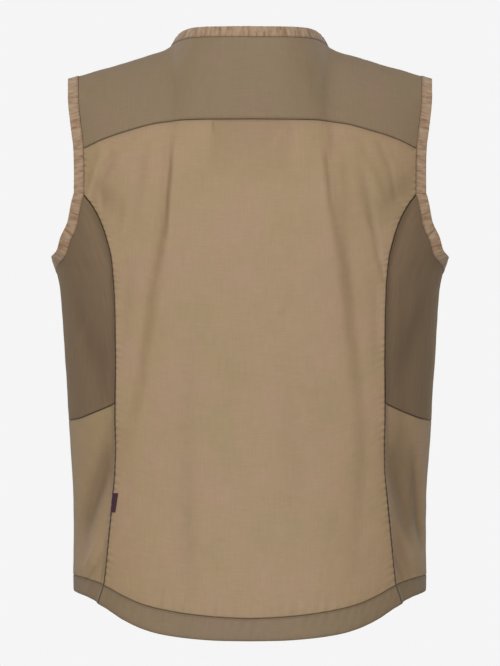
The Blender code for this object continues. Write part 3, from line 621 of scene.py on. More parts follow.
def yoke_lines():
    """The yoke's neck edge and its outer edge on the right half, from the centre back to the front seam."""
    angle = np.linspace(0, 90, DENSE)
    x = NECK_HALF_WIDTH * np.sin(np.radians(angle))
    back = rolled(pairs_of(x, read(BACK_NECK, "z", x)), False)
    front = rolled(front_neck(np.linspace(90, YOKE_CORNER_ANGLE, DENSE)), True)
    inner = np.vstack([back[:-1], front])
    x = np.linspace(0, ARMHOLE_BACK["x"][YOKE_ROW_BACK], DENSE)
    seam = rolled(pairs_of(x, read(YOKE_SEAM, "z", x)), False)
    behind_arm = armhole_over(False, seam[-1, 1])
    before_arm = armhole_over(True, rolled(front_yoke_seam(), True)[-1, 1])
    outer = np.vstack([seam[:-1], turned(behind_arm)[:-1], before_arm])
    return inner, outer


# %% [markdown]
# ## From four seams to a panel
# A Coons patch fills the space between four edges. Its points are then spaced by real distance: close
# together beside a seam, where the cloth turns in and puckers, and wider apart in the middle of the panel.

# %% The patch and its spacing
def coons(bottom, top, left, right):
    """Pairs in rows from bottom to top, between four edges."""
    up = np.linspace(0, 1, len(left))[:, None, None]
    along = np.linspace(0, 1, len(bottom))[None, :, None]
    across = left[:, None] * (1 - along) + right[:, None] * along
    level = bottom[None] * (1 - up) + top[None] * up
    below = bottom[0] * (1 - along) + bottom[-1] * along
    above = top[0] * (1 - along) + top[-1] * along
    return across + level - (below * (1 - up) + above * up)


# Depth below the face at each distance from a seam, in millimetres: the cloth turns in on a 1 mm radius.
SEAM_EDGE = table("""
distance depth
0.1 2.6
0.004 1.1
0.15 0.48
0.4 0.2
0.7 0.05
1.05 0
2 0
3.2 0
4.6 0
6.2 0
8 0
""")


# Deep in a seam the two turned edges press into each other a little, so that no light comes through.
LIP_ROW = 1
LIP_PRESS = 0.00008


# The hem's lower edge is a fold: its cloth comes back up inside the band.
FOLD_EDGE = table("""
distance depth
0.9 2.4
0.35 2.1
0.05 1.6
0.15 1.05
0.5 0.62
1 0.36
2.2 0.12
3.6 0
""")


def respaced(pairs, place, edges, middle):
    """Moves each row's pairs to set distances from its first and last edge, with even ones between."""
    points = place(pairs)
    near = [edge["distance"] / 1000 for edge in edges]
    made = []
    for row_pairs, row in zip(pairs, points):
        lengths = lengths_along(row)
        total = lengths[-1]
        shares = np.linspace(0, 1, middle + 2)[1:-1] if isinstance(middle, int) else middle
        inner = near[0][-1] + (total - near[1][-1] - near[0][-1]) * shares
        targets = np.concatenate([near[0], inner, total - near[1][::-1]])
        made.append(between_points(targets, lengths, row_pairs))
    return np.array(made)


def depths(edges, middle):
    count = middle if isinstance(middle, int) else len(middle)
    return np.concatenate([edges[0]["depth"], np.zeros(count), edges[1]["depth"][::-1]]) / 1000


def normals_of(pairs, place, toward, bare=False):
    """The surface's unit normals, or the bare form's, on the side that points away from the body's core."""
    step = 1e-4
    scale = np.array([[np.degrees(step) if place is round_body else step, 0], [0, step]])
    one = place(pairs + scale[0], bare) - place(pairs - scale[0], bare)
    other = place(pairs + scale[1], bare) - place(pairs - scale[1], bare)
    normal = np.cross(one, other)
    normal /= np.linalg.norm(normal, axis=-1, keepdims=True)
    return normal * np.where((normal * toward).sum(-1) < 0, -1, 1)[..., None]


def unit(values):
    return values / np.linalg.norm(values, axis=-1, keepdims=True)


def away_from_core(points):
    core = np.stack([0 * points[..., 0], 0 * points[..., 0], np.minimum(points[..., 2], -0.15)], axis=-1)
    return points - core


# %% [markdown]
# ## Small forms beside the seams
# A sewn seam draws the cloth up, so it puckers: small waves that run into
# the seam and die out a few millimetres away. Their spacing wanders, as it
# does on a real one. The whole cloth also has a faint, broad unevenness.

# %% Puckers and unevenness
def wander(s, seed):
    """A smooth wandering value between about -1 and 1 along s."""
    slow, middle = np.sin(s * 1.31 + seed), np.sin(s * 2.27 + seed * 1.7)
    return (slow + middle * 0.7 + np.sin(s * 4.9 + seed * 2.9) * 0.4) / 2.1


def pucker(s, distance, height, wave, reach, seed, start=0.0):
    """Waves along a seam: s and distance in metres, the rest in millimetres."""
    s, distance = s * 1000 / wave, distance * 1000 + start
    phase = 2 * math.pi * s + 1.6 * wander(s * 0.7, seed)
    size = 0.55 + 0.45 * wander(s * 0.45, seed + 5)
    rise = 1 - np.exp(-distance / 0.9)
    return height / 1000 * size * np.sin(phase) * rise * np.exp(-distance / reach)


def between_ends(first, last, reach):
    """1 along a seam and 0 at its two ends, from the distances to them; reach is in millimetres."""
    return smoothstep(0, reach, first * 1000) * smoothstep(0, reach, last * 1000)


LEFT, RIGHT, LOW, HIGH = range(4)


def puckered(*rows, calm=5.0):
    """What a panel's puckers add, as a function of the distances to its four seams.

    Each row names a seam, and then gives what pucker takes."""

    def shape(*far):
        rise = 0
        for seam, *how in rows:
            ends = far[LOW:] if seam < LOW else far[:LOW]
            rise = rise + pucker(ends[0], far[seam], *how) * between_ends(*ends, calm)
        return rise

    return shape


def valley(distance, depth, place, spread):
    """A soft trough beside a seam that is pulled tight; all but the distance are in millimetres."""
    distance = distance * 1000
    beyond = np.maximum(distance - place, 0) / spread
    return -depth / 1000 * smoothstep(0, place, distance) * np.exp(-(beyond**2))


ZIP_CALM = 0.045
BROAD, FINE = 0.060, 0.018
BROAD_RISE, FINE_RISE = 0.85, 0.35


def unevenness(points):
    """Perlin noise over all the cloth, in metres, which is calm beside the zip."""
    flat = points.reshape(-1, 3)
    broad = np.array([noise.noise(Vector(p) / BROAD) for p in flat])
    fine = np.array([noise.noise(Vector(p) / FINE + Vector((7, 0, 0))) for p in flat])
    beside = np.where(flat[:, 1] > 0, smoothstep(0.006, ZIP_CALM, np.abs(flat[:, 0])), 1)
    return ((broad * BROAD_RISE + fine * FINE_RISE) / 1000 * beside).reshape(points.shape[:-1])


# %% [markdown]
# ## Making a panel
# The mesh starts as a grid primitive. Its vertices move to the panel's points, its
# UV map is laid out in real metres so that a weave keeps its scale, and Solidify
# gives it a wall. A point attribute carries painted shade: the material darkens its
# colour in the seams, a little beside them, in the creases, in the pleat and in the
# troughs of the puckers, where shade would fall.

# %% The grid that every sheet starts from
CLOTH_WALL = 0.0007
pieces = {}


def select_only(*chosen):
    """Selects these objects and no others, and makes the first the active one."""
    bpy.ops.object.select_all(action="DESELECT")
    for piece in chosen:
        piece.select_set(True)
    if chosen:
        bpy.context.view_layer.objects.active = chosen[0]


def put_on_grid(name, points, uv, painted_shade, outward):
    """A grid primitive with its vertices moved to an array of points."""
    select_only()
    rows, columns = points.shape[:2]
    cuts = {"x_subdivisions": columns - 1, "y_subdivisions": rows - 1}
    bpy.ops.mesh.primitive_grid_add(size=2, calc_uvs=True, **cuts)
    piece = bpy.context.object
    piece.name = name
    mesh = piece.data
    mesh.name = name
    flat = np.empty(len(mesh.vertices) * 3, np.float32)
    mesh.vertices.foreach_get("co", flat)
    flat = flat.reshape(-1, 3)
    column = np.rint((flat[:, 0] + 1) / 2 * (columns - 1)).astype(int)
    row = np.rint((flat[:, 1] + 1) / 2 * (rows - 1)).astype(int)
    mesh.vertices.foreach_set("co", points[row, column].astype(np.float32).ravel())
    corner = np.empty(len(mesh.loops), np.int32)
    mesh.loops.foreach_get("vertex_index", corner)
    mesh.uv_layers.active.data.foreach_set("uv", uv[row[corner], column[corner]].astype(np.float32).ravel())
    # Painted shade: how strongly each point's colour is darkened as if in shadow, kept as a point attribute
    # for the material.
    depth = mesh.attributes.new("painted_shade", "FLOAT", "POINT")
    depth.data.foreach_set("value", painted_shade[row, column].astype(np.float32))
    mesh.update()
    facing = np.empty(len(mesh.vertices) * 3, np.float32)
    mesh.vertex_normals.foreach_get("vector", facing)
    if (facing.reshape(-1, 3) * outward[row, column]).sum() < 0:
        mesh.flip_normals()
    return piece


def apply_modifier(piece, kind, **settings):
    """Adds a modifier with its settings to the piece, and applies it."""
    made = piece.modifiers.new(kind, kind)
    for name, setting in settings.items():
        setattr(made, name, setting)
    bpy.context.view_layer.objects.active = piece
    bpy.ops.object.modifier_apply(modifier=made.name)


def give_wall(piece, wall):
    """Gives an open surface its thickness, inwards."""
    apply_modifier(piece, "SOLIDIFY", thickness=wall, offset=-1.0)
    piece.data.shade_smooth()


def keep(name, piece, node, slot, points, outward, held):
    """Hangs a finished sheet on the vest in place of its solid, and measures its cut for later."""
    one, other = points[1:, 1:] - points[:-1, :-1], points[1:, :-1] - points[:-1, 1:]
    area = float(np.linalg.norm(np.cross(one, other), axis=-1).sum() / 2)
    across = float(np.linalg.norm(np.diff(points, axis=1), axis=-1).sum(axis=1).max())
    along = float(np.linalg.norm(np.diff(points, axis=0), axis=-1).sum(axis=0).max())
    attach(piece, "vest")
    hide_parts(node)
    pieces[name] = {"object": piece, "points": points, "outward": outward, "held": held, "slot": slot}
    pieces[name].update(cut=(across, along), area=min(area, across * along), sewn=[])
    size = f"{across * 1000:.0f} x {along * 1000:.0f} mm, {area:.4f} m2"
    print(f"{name}: cut {size}, {points[..., 0].size} points")


# %% Shade and pressed edges
# Painted shade: how dark the colour is painted in and beside the seams, in pucker troughs, in creases and in
# the pleat.
GROOVE_FLAT = 0.3
GROOVE_REACH = 0.85
SKIRT_REACH = 3.0
PUCKER_SHADE = 0.26
TROUGH_SHADE = 0.085
DEEPEST_SHADE = 0.38
FRONT_SHARE = 0.35
PLEAT_SHARE = 0.5
NO_SKIRTS = (0, 0, 0, 0)


def trough_shade(points):
    """The painted shade in the creases and the pleat, which is lighter in front, where the cloth hangs free.
    """
    share = FRONT_SHARE + (1 - FRONT_SHARE) * smoothstep(-0.03, 0.03, -points[..., 1])
    pleat = np.where(points[..., 1] < 0, pleat_fold(points[..., 0], points[..., 2]), 0) * PLEAT_SHARE
    return share * np.clip(-(crease_height(points) + pleat) * 1000 * TROUGH_SHADE, 0, DEEPEST_SHADE)


def gathered_shade(far, grooves, skirts, small, troughs):
    """How much shade is painted at each point: in the seams, a little beside them, in the creases and in the
    pucker troughs.
    """
    shade = np.maximum(troughs, PUCKER_SHADE * np.clip(-small * 1000 / 0.7, 0, 1))
    for distance, strength, skirt in zip(far, grooves, skirts):
        beyond = np.maximum(distance * 1000 - GROOVE_FLAT, 0)
        shade = np.maximum(shade, strength * np.exp(-((beyond / GROOVE_REACH) ** 2)))
        shade = np.maximum(shade, skirt * np.exp(-beyond / SKIRT_REACH))
    return shade


def press_lips(points, kinds):
    """Moves the turned-in row of each sewn edge a little across its seam."""
    sides = (points.transpose(1, 0, 2), points.transpose(1, 0, 2)[::-1], points, points[::-1])
    for rows, kind in zip(sides, kinds):
        if kind is SEAM_EDGE:
            rows[LIP_ROW] += unit(rows[4] - rows[6]) * LIP_PRESS


# %% The panel maker
def panel(name, edges4, place, kinds, grooves, middle, shape, slot, uv_of=None, sunk=None, skirts=NO_SKIRTS):
    """One panel between its bottom, top, left and right seams; the other lists start with left and right.

    shape adds puckers and sunk adds broad troughs, in metres, from the distances to the four seams."""
    across = respaced(coons(*edges4), place, kinds[:2], middle[0])
    pairs = respaced(across.transpose(1, 0, 2), place, kinds[2:], middle[1]).transpose(1, 0, 2)
    points = place(pairs)
    outward = normals_of(pairs, place, away_from_core(points))
    low = lengths_along(points)
    left = lengths_along(points.transpose(1, 0, 2)).T
    far = (left, left[:, -1:] - left, low, low[-1:] - low)
    uv = np.stack([left - left[:, -1:] / 2, low], axis=-1) if uv_of is None else uv_of(pairs)
    inset = np.maximum(depths(kinds[:2], middle[0])[None, :], depths(kinds[2:], middle[1])[:, None])
    small = shape(*far)
    # Painted shade: in and beside each seam at the strengths in grooves and skirts, in pucker troughs, in
    # creases and in the pleat.
    painted_shade = gathered_shade(far, grooves, skirts, small, trough_shade(place(pairs, True)))
    rise = small + unevenness(points) + (0 if sunk is None else sunk(*far))
    points = points + outward * rise[..., None]
    points = points - normals_of(pairs, place, away_from_core(points), True) * inset[..., None]
    press_lips(points, kinds)
    piece = put_on_grid(name + "_cloth", points, uv, painted_shade, outward)
    give_wall(piece, CLOTH_WALL)
    keep(name, piece, name, slot, points, outward, "hung")


# %% [markdown]
# ### Back
# The largest panel. Its top edge is gathered into the yoke with a box pleat, and its long edges pucker most.

# %% Back panel
SEAMS = [SEAM_EDGE] * 4


def denser(count, places):
    """Shares from 0 to 1 that crowd together round places, each with its width and how much denser."""
    at = np.linspace(0, 1, 2001)
    density = 1 + sum(more * np.exp(-(((at - place) / width) ** 2)) for place, width, more in places)
    return np.interp(np.linspace(0, 1, count + 2)[1:-1], np.cumsum(density) / density.sum(), at)


# The two pleat lines, the two hanging folds and the strips
# beside the armholes need more columns than the rest.
BUSY_COLUMNS = ((0.387, 0.010, 3.0), (0.632, 0.010, 3.0), (0.245, 0.032, 4.0), (0.755, 0.040, 2.6))
BUSY_COLUMNS += ((0.04, 0.05, 1.0), (0.96, 0.05, 1.0))
BUSY_ROWS = ((0.90, 0.12, 0.5),)


back_shape = puckered(
    (LEFT, 1.25, 7.6, 4.4, 1.0),
    (RIGHT, 1.15, 8.2, 4.4, 2.0),
    (HIGH, 0.45, 9.0, 5.0, 3.0),
    (LOW, 0.65, 13.0, 9.0, 4.0),
)


def back_edges():
    low_edge = hem_line("top", -foot_angle(False), foot_angle(False))
    half = read(FORM, "half_width", low_edge[:, 1])
    low_x = np.copysign(half * np.abs(np.sin(np.radians(low_edge[:, 0]))) ** (2 / ROUNDNESS), low_edge[:, 0])
    bottom = evenly(pairs_of(low_x, low_edge[:, 1]), behind)
    x = np.linspace(-ARMHOLE_BACK["x"][YOKE_ROW_BACK], ARMHOLE_BACK["x"][YOKE_ROW_BACK], DENSE)
    top = evenly(pairs_of(x, read(YOKE_SEAM, "z", np.abs(x))), behind)
    right = np.vstack([side_seam(False, side_foot(False), ARMHOLE_BACK["z"][0])[:-1], armhole_edge(False)])
    right = evenly(right, behind)
    return bottom, top, on_left(right), right


BACK_COLUMNS, BACK_ROWS = 112, 298
back_middle = (denser(BACK_COLUMNS, BUSY_COLUMNS), denser(BACK_ROWS, BUSY_ROWS))
# Painted shade in and beside the back's seams; the wider skirt under the yoke seam paints shade where the
# back tucks under the yoke.
back_grooves, back_skirts = (1, 1, 0.55, 0.7), (0.08, 0.08, 0.08, 0.26)
own = (back_grooves, back_middle, back_shape, "tan_cloth", None, None, back_skirts)
panel("back_panel", back_edges(), behind, SEAMS, *own)

# %% [markdown]
# ### Yoke
# One piece over both shoulders: from the neck seam, its points run out like a fan to the armholes and the
# back. Its weave still has to run straight, so its UV map is x across and the way over the shoulder along.

# %% Yoke
yoke_shape = puckered((HIGH, 0.40, 10.0, 5.0, 5.0), (LOW, 0.40, 8.0, 5.0, 6.0))


def yoke_weave(pairs):
    turn = np.linspace(-math.pi / 2, math.pi / 2, 400)
    over = lengths_along(over_shoulder(pairs_of(0.14, turn)))
    return pairs_of(pairs[..., 0], np.interp(pairs[..., 1], turn, over))


def yoke_edges():
    inner, outer = yoke_lines()
    whole_inner = np.vstack([on_left(turned(inner))[:-1], inner])
    whole_outer = np.vstack([on_left(turned(outer))[:-1], outer])
    right = evenly(rolled(front_yoke_seam(), True), over_shoulder)
    bottom = evenly(whole_inner, over_shoulder, 2 * DENSE)
    return bottom, evenly(whole_outer, over_shoulder, 2 * DENSE), on_left(right), right


own = ((0.7, 0.7, 0.7, 0.4), (208, 32), yoke_shape, "olive_cloth", yoke_weave)
panel("yoke", yoke_edges(), over_shoulder, SEAMS, *own)

# %% [markdown]
# ### Sides
# The upper side is a soft knitted stretch cloth that ends
# in the armhole. The lower side is the body's tan cloth.

# %% Side panels
VALLEY = (2.6, 9.0, 15.0)
# Painted shade a little beside the side panels' long seams.
SIDE_SKIRTS = (0.25, 0.25, 0.06, 0.06)
upper_shape = puckered((LEFT, 0.35, 8.0, 4.0, 1.5), (RIGHT, 0.35, 8.5, 4.0, 2.5), (LOW, 0.25, 9.0, 4.0, 3.5))
lower_shape = puckered((LEFT, 0.75, 8.0, 4.5, 4.1), (RIGHT, 0.75, 8.5, 4.5, 5.1), (LOW, 0.7, 12.0, 9.0, 6.1))


def upper_valleys(left, right, low, high):
    return (valley(left, *VALLEY) + valley(right, *VALLEY)) * smoothstep(0.002, 0.030, high)


def lower_valleys(left, right, low, high):
    return valley(left, *VALLEY) + valley(right, *VALLEY)


def side_edges():
    """The four edges of the lower and of the upper side panel, on the right."""
    step = SIDE_STEP["z"][0]
    lower_back = as_angles(side_seam(False, side_foot(False), step), False)
    lower_front = as_angles(side_seam(True, side_foot(True), step), True)
    upper_back = as_angles(side_seam(False, step, ARMHOLE_BACK["z"][0]), False)
    upper_front = as_angles(side_seam(True, step, ARMHOLE_FRONT["z"][0]), True)
    angle = np.linspace(lower_back[-1, 0], lower_front[-1, 0], DENSE)
    middle = pairs_of(angle, read(SIDE_STEP, "z", angle))
    foot = hem_line("top", foot_angle(False), foot_angle(True))
    lower, upper = (foot, middle, lower_back, lower_front), (middle, underarm(), upper_back, upper_front)
    return [[evenly(edge, round_body) for edge in edges] for edges in (lower, upper)]


def sided(edges, side):
    return [on_left(edge) if side < 0 else edge for edge in edges]


lower_edges, upper_edges = side_edges()
for word, side in SIDES:
    lower, upper = sided(lower_edges, side), sided(upper_edges, side)
    own = ((1, 1, 0.45, 0.8), (76, 110), lower_shape, "tan_cloth", None, lower_valleys, SIDE_SKIRTS)
    panel(f"side_lower_{word}", lower, round_body, SEAMS, *own)
    own = ((1, 1, 0.8, 0.8), (62, 120), upper_shape, "brown_stretch", None, upper_valleys)
    panel(f"side_upper_{word}", upper, round_body, SEAMS, *own)

# %% [markdown]
# ### Fronts
# Two plain panels that meet at the zip. Each front edge is turned in over the zip tape, so it turns in less.

# %% Fronts
ZIP_EDGE = table("""
distance depth
0.8 1.25
0.3 1.15
0.05 0.75
0.15 0.4
0.4 0.15
0.9 0
2 0
3.2 0
4.6 0
6.2 0
8 0
""")
FRONT_KINDS = [ZIP_EDGE, SEAM_EDGE, SEAM_EDGE, SEAM_EDGE]


front_shape = puckered(
    (RIGHT, 1.0, 8.0, 4.5, 1.2),
    (LEFT, 0.40, 11.0, 6.0, 4.2),
    (LOW, 0.65, 13.0, 9.0, 2.2),
    (HIGH, 0.45, 9.0, 5.0, 3.2),
)


def front_edges():
    seam = np.vstack([side_seam(True, side_foot(True), ARMHOLE_FRONT["z"][0])[:-1], armhole_edge(True)])
    right = evenly(seam, in_front)
    neck = front_neck(np.linspace(ZIP_NECK_ANGLE, YOKE_CORNER_ANGLE, DENSE))
    top = evenly(np.vstack([neck[:-1], front_yoke_seam()]), in_front)
    x = np.linspace(ZIP_HALF_GAP, right[0, 0], DENSE)
    angle = angle_of(x, np.full(DENSE, right[0, 1]), True)
    bottom = pairs_of(x, read(HEM, "top", angle))
    bottom[-1] = right[0]
    z = np.linspace(bottom[0, 1], top[0, 1], DENSE)
    return evenly(bottom, in_front), top, pairs_of(ZIP_HALF_GAP, z), right


ZIP_NECK_ANGLE = math.degrees(math.asin(ZIP_HALF_GAP / NECK_HALF_WIDTH))
for word, side in SIDES:
    own = ((0, 1, 0.6, 0.8), (64, 246), front_shape, "tan_cloth")
    panel(f"front_{word}", sided(front_edges(), side), in_front, FRONT_KINDS, *own)

# %% [markdown]
# ### Hem band
# A doubled olive band. Its lower edge is a fold, so it is round and not turned in like a seam.

# %% Hem band
hem_shape = puckered((HIGH, 0.6, 12.0, 12.0, 1.7), (LOW, 0.5, 15.0, 10.0, 2.7, 4.0), calm=9.0)
# Painted shade beside the hem band's edges: most along the folded lower edge, where the band rolls under, and
# less under its top seam.
HEM_SKIRTS = (0, 0, 0.30, 0.14)
HEM_ROWS, HEM_COLUMNS, HEM_BACK_COLUMNS = 8, 70, 130
HEM_MIDDLE_Z = -0.63


def hem_piece(name, side, top_ends, foot_ends, across, free_end, sunk=None):
    top = evenly(hem_line("top", *top_ends), round_body)
    foot = evenly(hem_line("bottom", *foot_ends), round_body)
    share = np.linspace(0, 1, DENSE)[:, None]
    left = foot[:1] * (1 - share) + top[:1] * share
    right = foot[-1:] * (1 - share) + top[-1:] * share
    kinds = [ZIP_EDGE if free_end else SEAM_EDGE, SEAM_EDGE, FOLD_EDGE, SEAM_EDGE]
    grooves = (0 if free_end else 0.8, 0.8, 0, 0.5)
    own = (kinds, grooves, (across, HEM_ROWS), hem_shape, "olive_cloth", None, sunk, HEM_SKIRTS)
    panel(name, sided((foot, top, left, right), side), round_body, *own)


back_foot, front_foot = foot_angle(False), foot_angle(True)
back_low, front_low = back_foot + HEM_SEAM_TURN, front_foot - HEM_SEAM_TURN
zip_angle = float(angle_of(ZIP_HALF_GAP, HEM_MIDDLE_Z, True))
hem_piece("hem_back", 1, (-back_foot, back_foot), (-back_low, back_low), HEM_BACK_COLUMNS, False)
for word, side in SIDES:
    ends = (back_foot, front_foot), (back_low, front_low)
    hem_piece(f"hem_side_{word}", side, *ends, HEM_COLUMNS, False, lower_valleys)
    ends = (zip_angle, front_foot), (zip_angle, front_low)
    hem_piece(f"hem_front_{word}", side, *ends, HEM_COLUMNS, True)

# %% [markdown]
# ## Tapes
# The neck and the armholes are bound: a ribbed tape is folded over the raw
# edge and sewn down on both faces. Its section is a narrow U. The tape is
# stitched while the cloth is stretched, so it gathers into small cross ribs.

# %% The folded section
def folded_section(first, leaf, width, face, back, last):
    """A narrow U in millimetres: how far on from the seam, and how far out of the cloth.

    first and last are its hidden ends, and leaf gives its outer leaf's start and number of points."""
    radius, middle = (face - back) / 2, (face + back) / 2
    outer = [(u, face) for u in np.linspace(leaf[0], width - radius, leaf[1])]
    turn = np.radians(np.arange(67.5, -80, -22.5))
    nose = zip(width - radius + radius * np.cos(turn), middle + radius * np.sin(turn))
    inner = [(u, back) for u in np.linspace(width - radius, 1.2, 6)]
    return np.array([*first, *outer, *nose, *inner, *last])


def tape_section(width, face, back):
    """A tape's section. Its outer leaf starts on the cloth, so that it covers the seam."""
    first = [(-0.50, face - 0.48), (-0.80, face - 0.38), (-0.95, face - 0.20)]
    first += [(-0.85, face - 0.05), (-0.45, face)]
    last = [(0.60, back), (0.20, back + 0.10), (0.08, back + 0.30), (0.40, back + 0.60)]
    return folded_section(first, (0.4, 9), width, face, back, last)


def evened(points, spacing, closed):
    """Fractional indices that space a line of points evenly."""
    line = np.vstack([points, points[:1]]) if closed else points
    lengths = lengths_along(line)
    count = int(round(lengths[-1] / spacing)) + 1
    return np.interp(np.linspace(0, lengths[-1], count), lengths, np.arange(len(line)))


def taken(values, at):
    """Values at fractional indices, where the one after the last is the first."""
    low = np.floor(at).astype(int)
    share = (at - low)[:, None]
    return values[low % len(values)] * (1 - share) + values[(low + 1) % len(values)] * share


def smoothed(values, sigma, closed):
    """Values averaged along their line with a bell curve of sigma steps, and made unit length."""
    reach = int(3 * sigma)
    bell = np.exp(-0.5 * (np.arange(-reach, reach + 1) / sigma) ** 2)
    padded = np.pad(values, ((reach, reach), (0, 0)), mode="wrap" if closed else "edge")
    made = np.stack([np.convolve(padded[:, k], bell, mode="valid") for k in range(3)], axis=-1)
    return made / np.linalg.norm(made, axis=-1, keepdims=True)


# %% The tape maker
TAPE_STEP = 0.0014
# How dark the painted shade near a tape's two edges is.
TAPE_SHADE = 0.8
GATHER_WAVE = 6.6
GATHER_SKEW = 0.22
CLOSED_END = 0.0008


def folded_tape(name, points, way, out, section, closed, seed, slot="twill_tape", ribbing=0.46, wall=0.00045):
    """A tape folded along a line. way leads on from the cloth and out faces out of it."""
    u, v = section.T / 1000
    along = np.linspace(0, 1, len(points)) * lengths_along(points)[-1]
    turns = np.gradient(section, axis=0)
    turns /= np.linalg.norm(turns, axis=1, keepdims=True)
    on_face = np.clip((u * 1000 + 0.4) / 1.6, 0, 1) * np.sign(v)
    ribs = along * 1000 / GATHER_WAVE
    phase = 2 * math.pi * ribs + 2.2 * wander(ribs * 0.8, seed)
    size = ribbing * (0.55 + 0.45 * wander(ribs * 0.5, seed + 3)) / 1000
    skew = u[:, None] * 1000 * GATHER_SKEW
    rise = size[None] * np.sin(phase[None] + skew) * on_face[:, None]
    ends = np.ones(len(points))
    if not closed:
        ends = np.clip(np.minimum(along, along[-1] - along) / CLOSED_END, 0.02, 1) ** 0.5
    middle = (v.max() + v.min()) / 2
    depth = (v[:, None] - middle) * ends[None] + middle + rise * ends[None]
    grid = points[None] + way[None] * u[:, None, None] + out[None] * depth[..., None]
    facing = -way[None] * turns[:, 1][:, None, None] + out[None] * turns[:, 0][:, None, None]
    across = np.concatenate([[0], np.cumsum(np.linalg.norm(np.diff(section, axis=0), axis=1))]) / 1000
    uv = pairs_of(along[None], across[:, None])
    near = np.minimum(across, across[-1] - across)[:, None] * 1000 + 0 * along[None]
    # Painted shade: the tape is darker near its two edges, where it meets the cloth, as if in shadow.
    shade = TAPE_SHADE * np.exp(-((np.maximum(near - 0.7, 0) / 0.9) ** 2))
    piece = put_on_grid(name + "_tape", grid, uv, shade, facing)
    if closed:
        bpy.ops.object.mode_set(mode="EDIT")
        bpy.ops.mesh.select_all(action="SELECT")
        bpy.ops.mesh.remove_doubles(threshold=2e-5)
        bpy.ops.object.mode_set(mode="OBJECT")
    give_wall(piece, wall)
    keep(name, piece, name, slot, grid, facing, "folded")


# %% Armhole tapes
BINDING_WIDTH = 0.012
BINDING_FLARE = table("""
z degrees
-0.264 6
-0.256 12
-0.246 40
-0.235 36
-0.2 18
-0.17 12
-0.06 10
-0.036 0
""")
INWARD = 0.0132
INWARD_BELOW = 0.021
LEAD_SMOOTHING = 0.013


def armhole_loop():
    """The right armhole's edge: up behind, over the shoulder, down before and back under the arm.

    With each point goes one a little way in on the cloth, which shows how the cloth leads to its edge."""
    corner = pairs_of(*([ARMHOLE_BACK[axis][YOKE_ROW_BACK]] for axis in "xz"))
    seam_roll = rolled(corner, False)[0, 1]
    front_roll = rolled(front_yoke_seam(), True)[-1, 1]
    runs = [
        (armhole_edge(False), behind, (INWARD, 0)),
        (turned(armhole_over(False, seam_roll)), over_shoulder, (INWARD, 0)),
        (armhole_over(True, front_roll), over_shoulder, (INWARD, 0)),
        (turned(armhole_edge(True)), in_front, (INWARD, 0)),
        (turned(underarm()), round_body, (0, INWARD_BELOW)),
    ]
    edge = np.vstack([place(pairs)[:-1] for pairs, place, _ in runs])
    inner = np.vstack([place(pairs - np.array(back))[:-1] for pairs, place, back in runs])
    return edge, inner


def square_to(ways, along):
    """The ways turned square to the direction along, and made unit length."""
    return unit(ways - along * (ways * along).sum(-1, keepdims=True))


def edge_ways(edge, inner):
    """For each point of a closed edge, the ways on from the cloth and out of the cloth."""
    sigma = LEAD_SMOOTHING / TAPE_STEP
    along = smoothed(unit(np.roll(edge, -1, axis=0) - np.roll(edge, 1, axis=0)), sigma / 3, True)
    lead = square_to(smoothed(square_to(edge - inner, along), sigma, True), along)
    out = unit(np.cross(along, lead))
    return lead, out * np.where((out * away_from_core(edge)).sum(-1) > 0, 1, -1)[:, None]


edge, inner = armhole_loop()
at = evened(edge, TAPE_STEP, True)
edge, inner = taken(edge, at)[:-1], taken(inner, at)[:-1]
lead, out = edge_ways(edge, inner)
flare = np.radians(read(BINDING_FLARE, "degrees", edge[:, 2]))[:, None]
way = lead * np.cos(flare) + out * np.sin(flare)
face = out * np.cos(flare) - lead * np.sin(flare)
edge = edge + out * unevenness(edge)[:, None]
loop = [np.vstack([values, values[:1]]) for values in (edge, way, face)]
for word, side in SIDES:
    mirror = np.array([side, 1, 1])
    section = tape_section(BINDING_WIDTH * 1000, 0.5, -1.5)
    folded_tape(f"armhole_binding_{word}", *(values * mirror for values in loop), section, True, 2.0 + side)

# %% Neck band
BAND_HEIGHT = 0.0123
BAND_LEAN = table("""
angle lean
0 0.27
45 0.4
90 0.62
135 0.5
180 0.33
""")
NECK_AXIS_Y = 0.018


def band_way(points):
    """The way the neck band stands up from its seam."""
    inward = np.stack([-points[:, 0], NECK_AXIS_Y - points[:, 1], 0 * points[:, 0]], axis=-1)
    angle = np.degrees(np.arctan2(np.abs(inward[:, 0]), inward[:, 1]))
    lean = read(BAND_LEAN, "lean", angle)[:, None]
    return unit(unit(inward) * lean + np.array([0, 0, 1.0]))


def neck_line():
    """The neck seam from the right side of the zip to the middle of the back."""
    low = in_front(front_neck(np.linspace(ZIP_NECK_ANGLE, YOKE_CORNER_ANGLE, DENSE)))
    high = over_shoulder(rolled(front_neck(np.linspace(YOKE_CORNER_ANGLE, 90, DENSE)), True))
    x = NECK_HALF_WIDTH * np.sin(np.radians(np.linspace(90, 0, DENSE)))
    back = over_shoulder(rolled(pairs_of(x, read(BACK_NECK, "z", x)), False))
    return np.vstack([low[:-1], high[:-1], back])


half = neck_line()
seam = np.vstack([half, (half * np.array([-1, 1, 1]))[::-1][1:]])
at = evened(seam, TAPE_STEP, False)
seam = between_points(at, np.arange(len(seam)), seam)
way = band_way(seam)
along = smoothed(unit(np.gradient(seam, axis=0)), 3, False)
face = unit(np.cross(along, way))
axis = seam - np.array([0, NECK_AXIS_Y, 0])
face *= np.where((face * axis * np.array([1, 1, 0])).sum(-1) > 0, 1, -1)[:, None]
seam = seam + face * unevenness(seam)[:, None]
folded_tape("neck_band", seam, way, face, tape_section(BAND_HEIGHT * 1000, 0.5, -1.15), False, 6.0)

# %% [markdown]
# ### Side label
# A plum woven label is folded in two and caught in the left side seam. It
# lies on the back panel, and it is plain. It is the same folded section as
# the tapes, narrower towards its lower end, as if it had been sewn in askew.

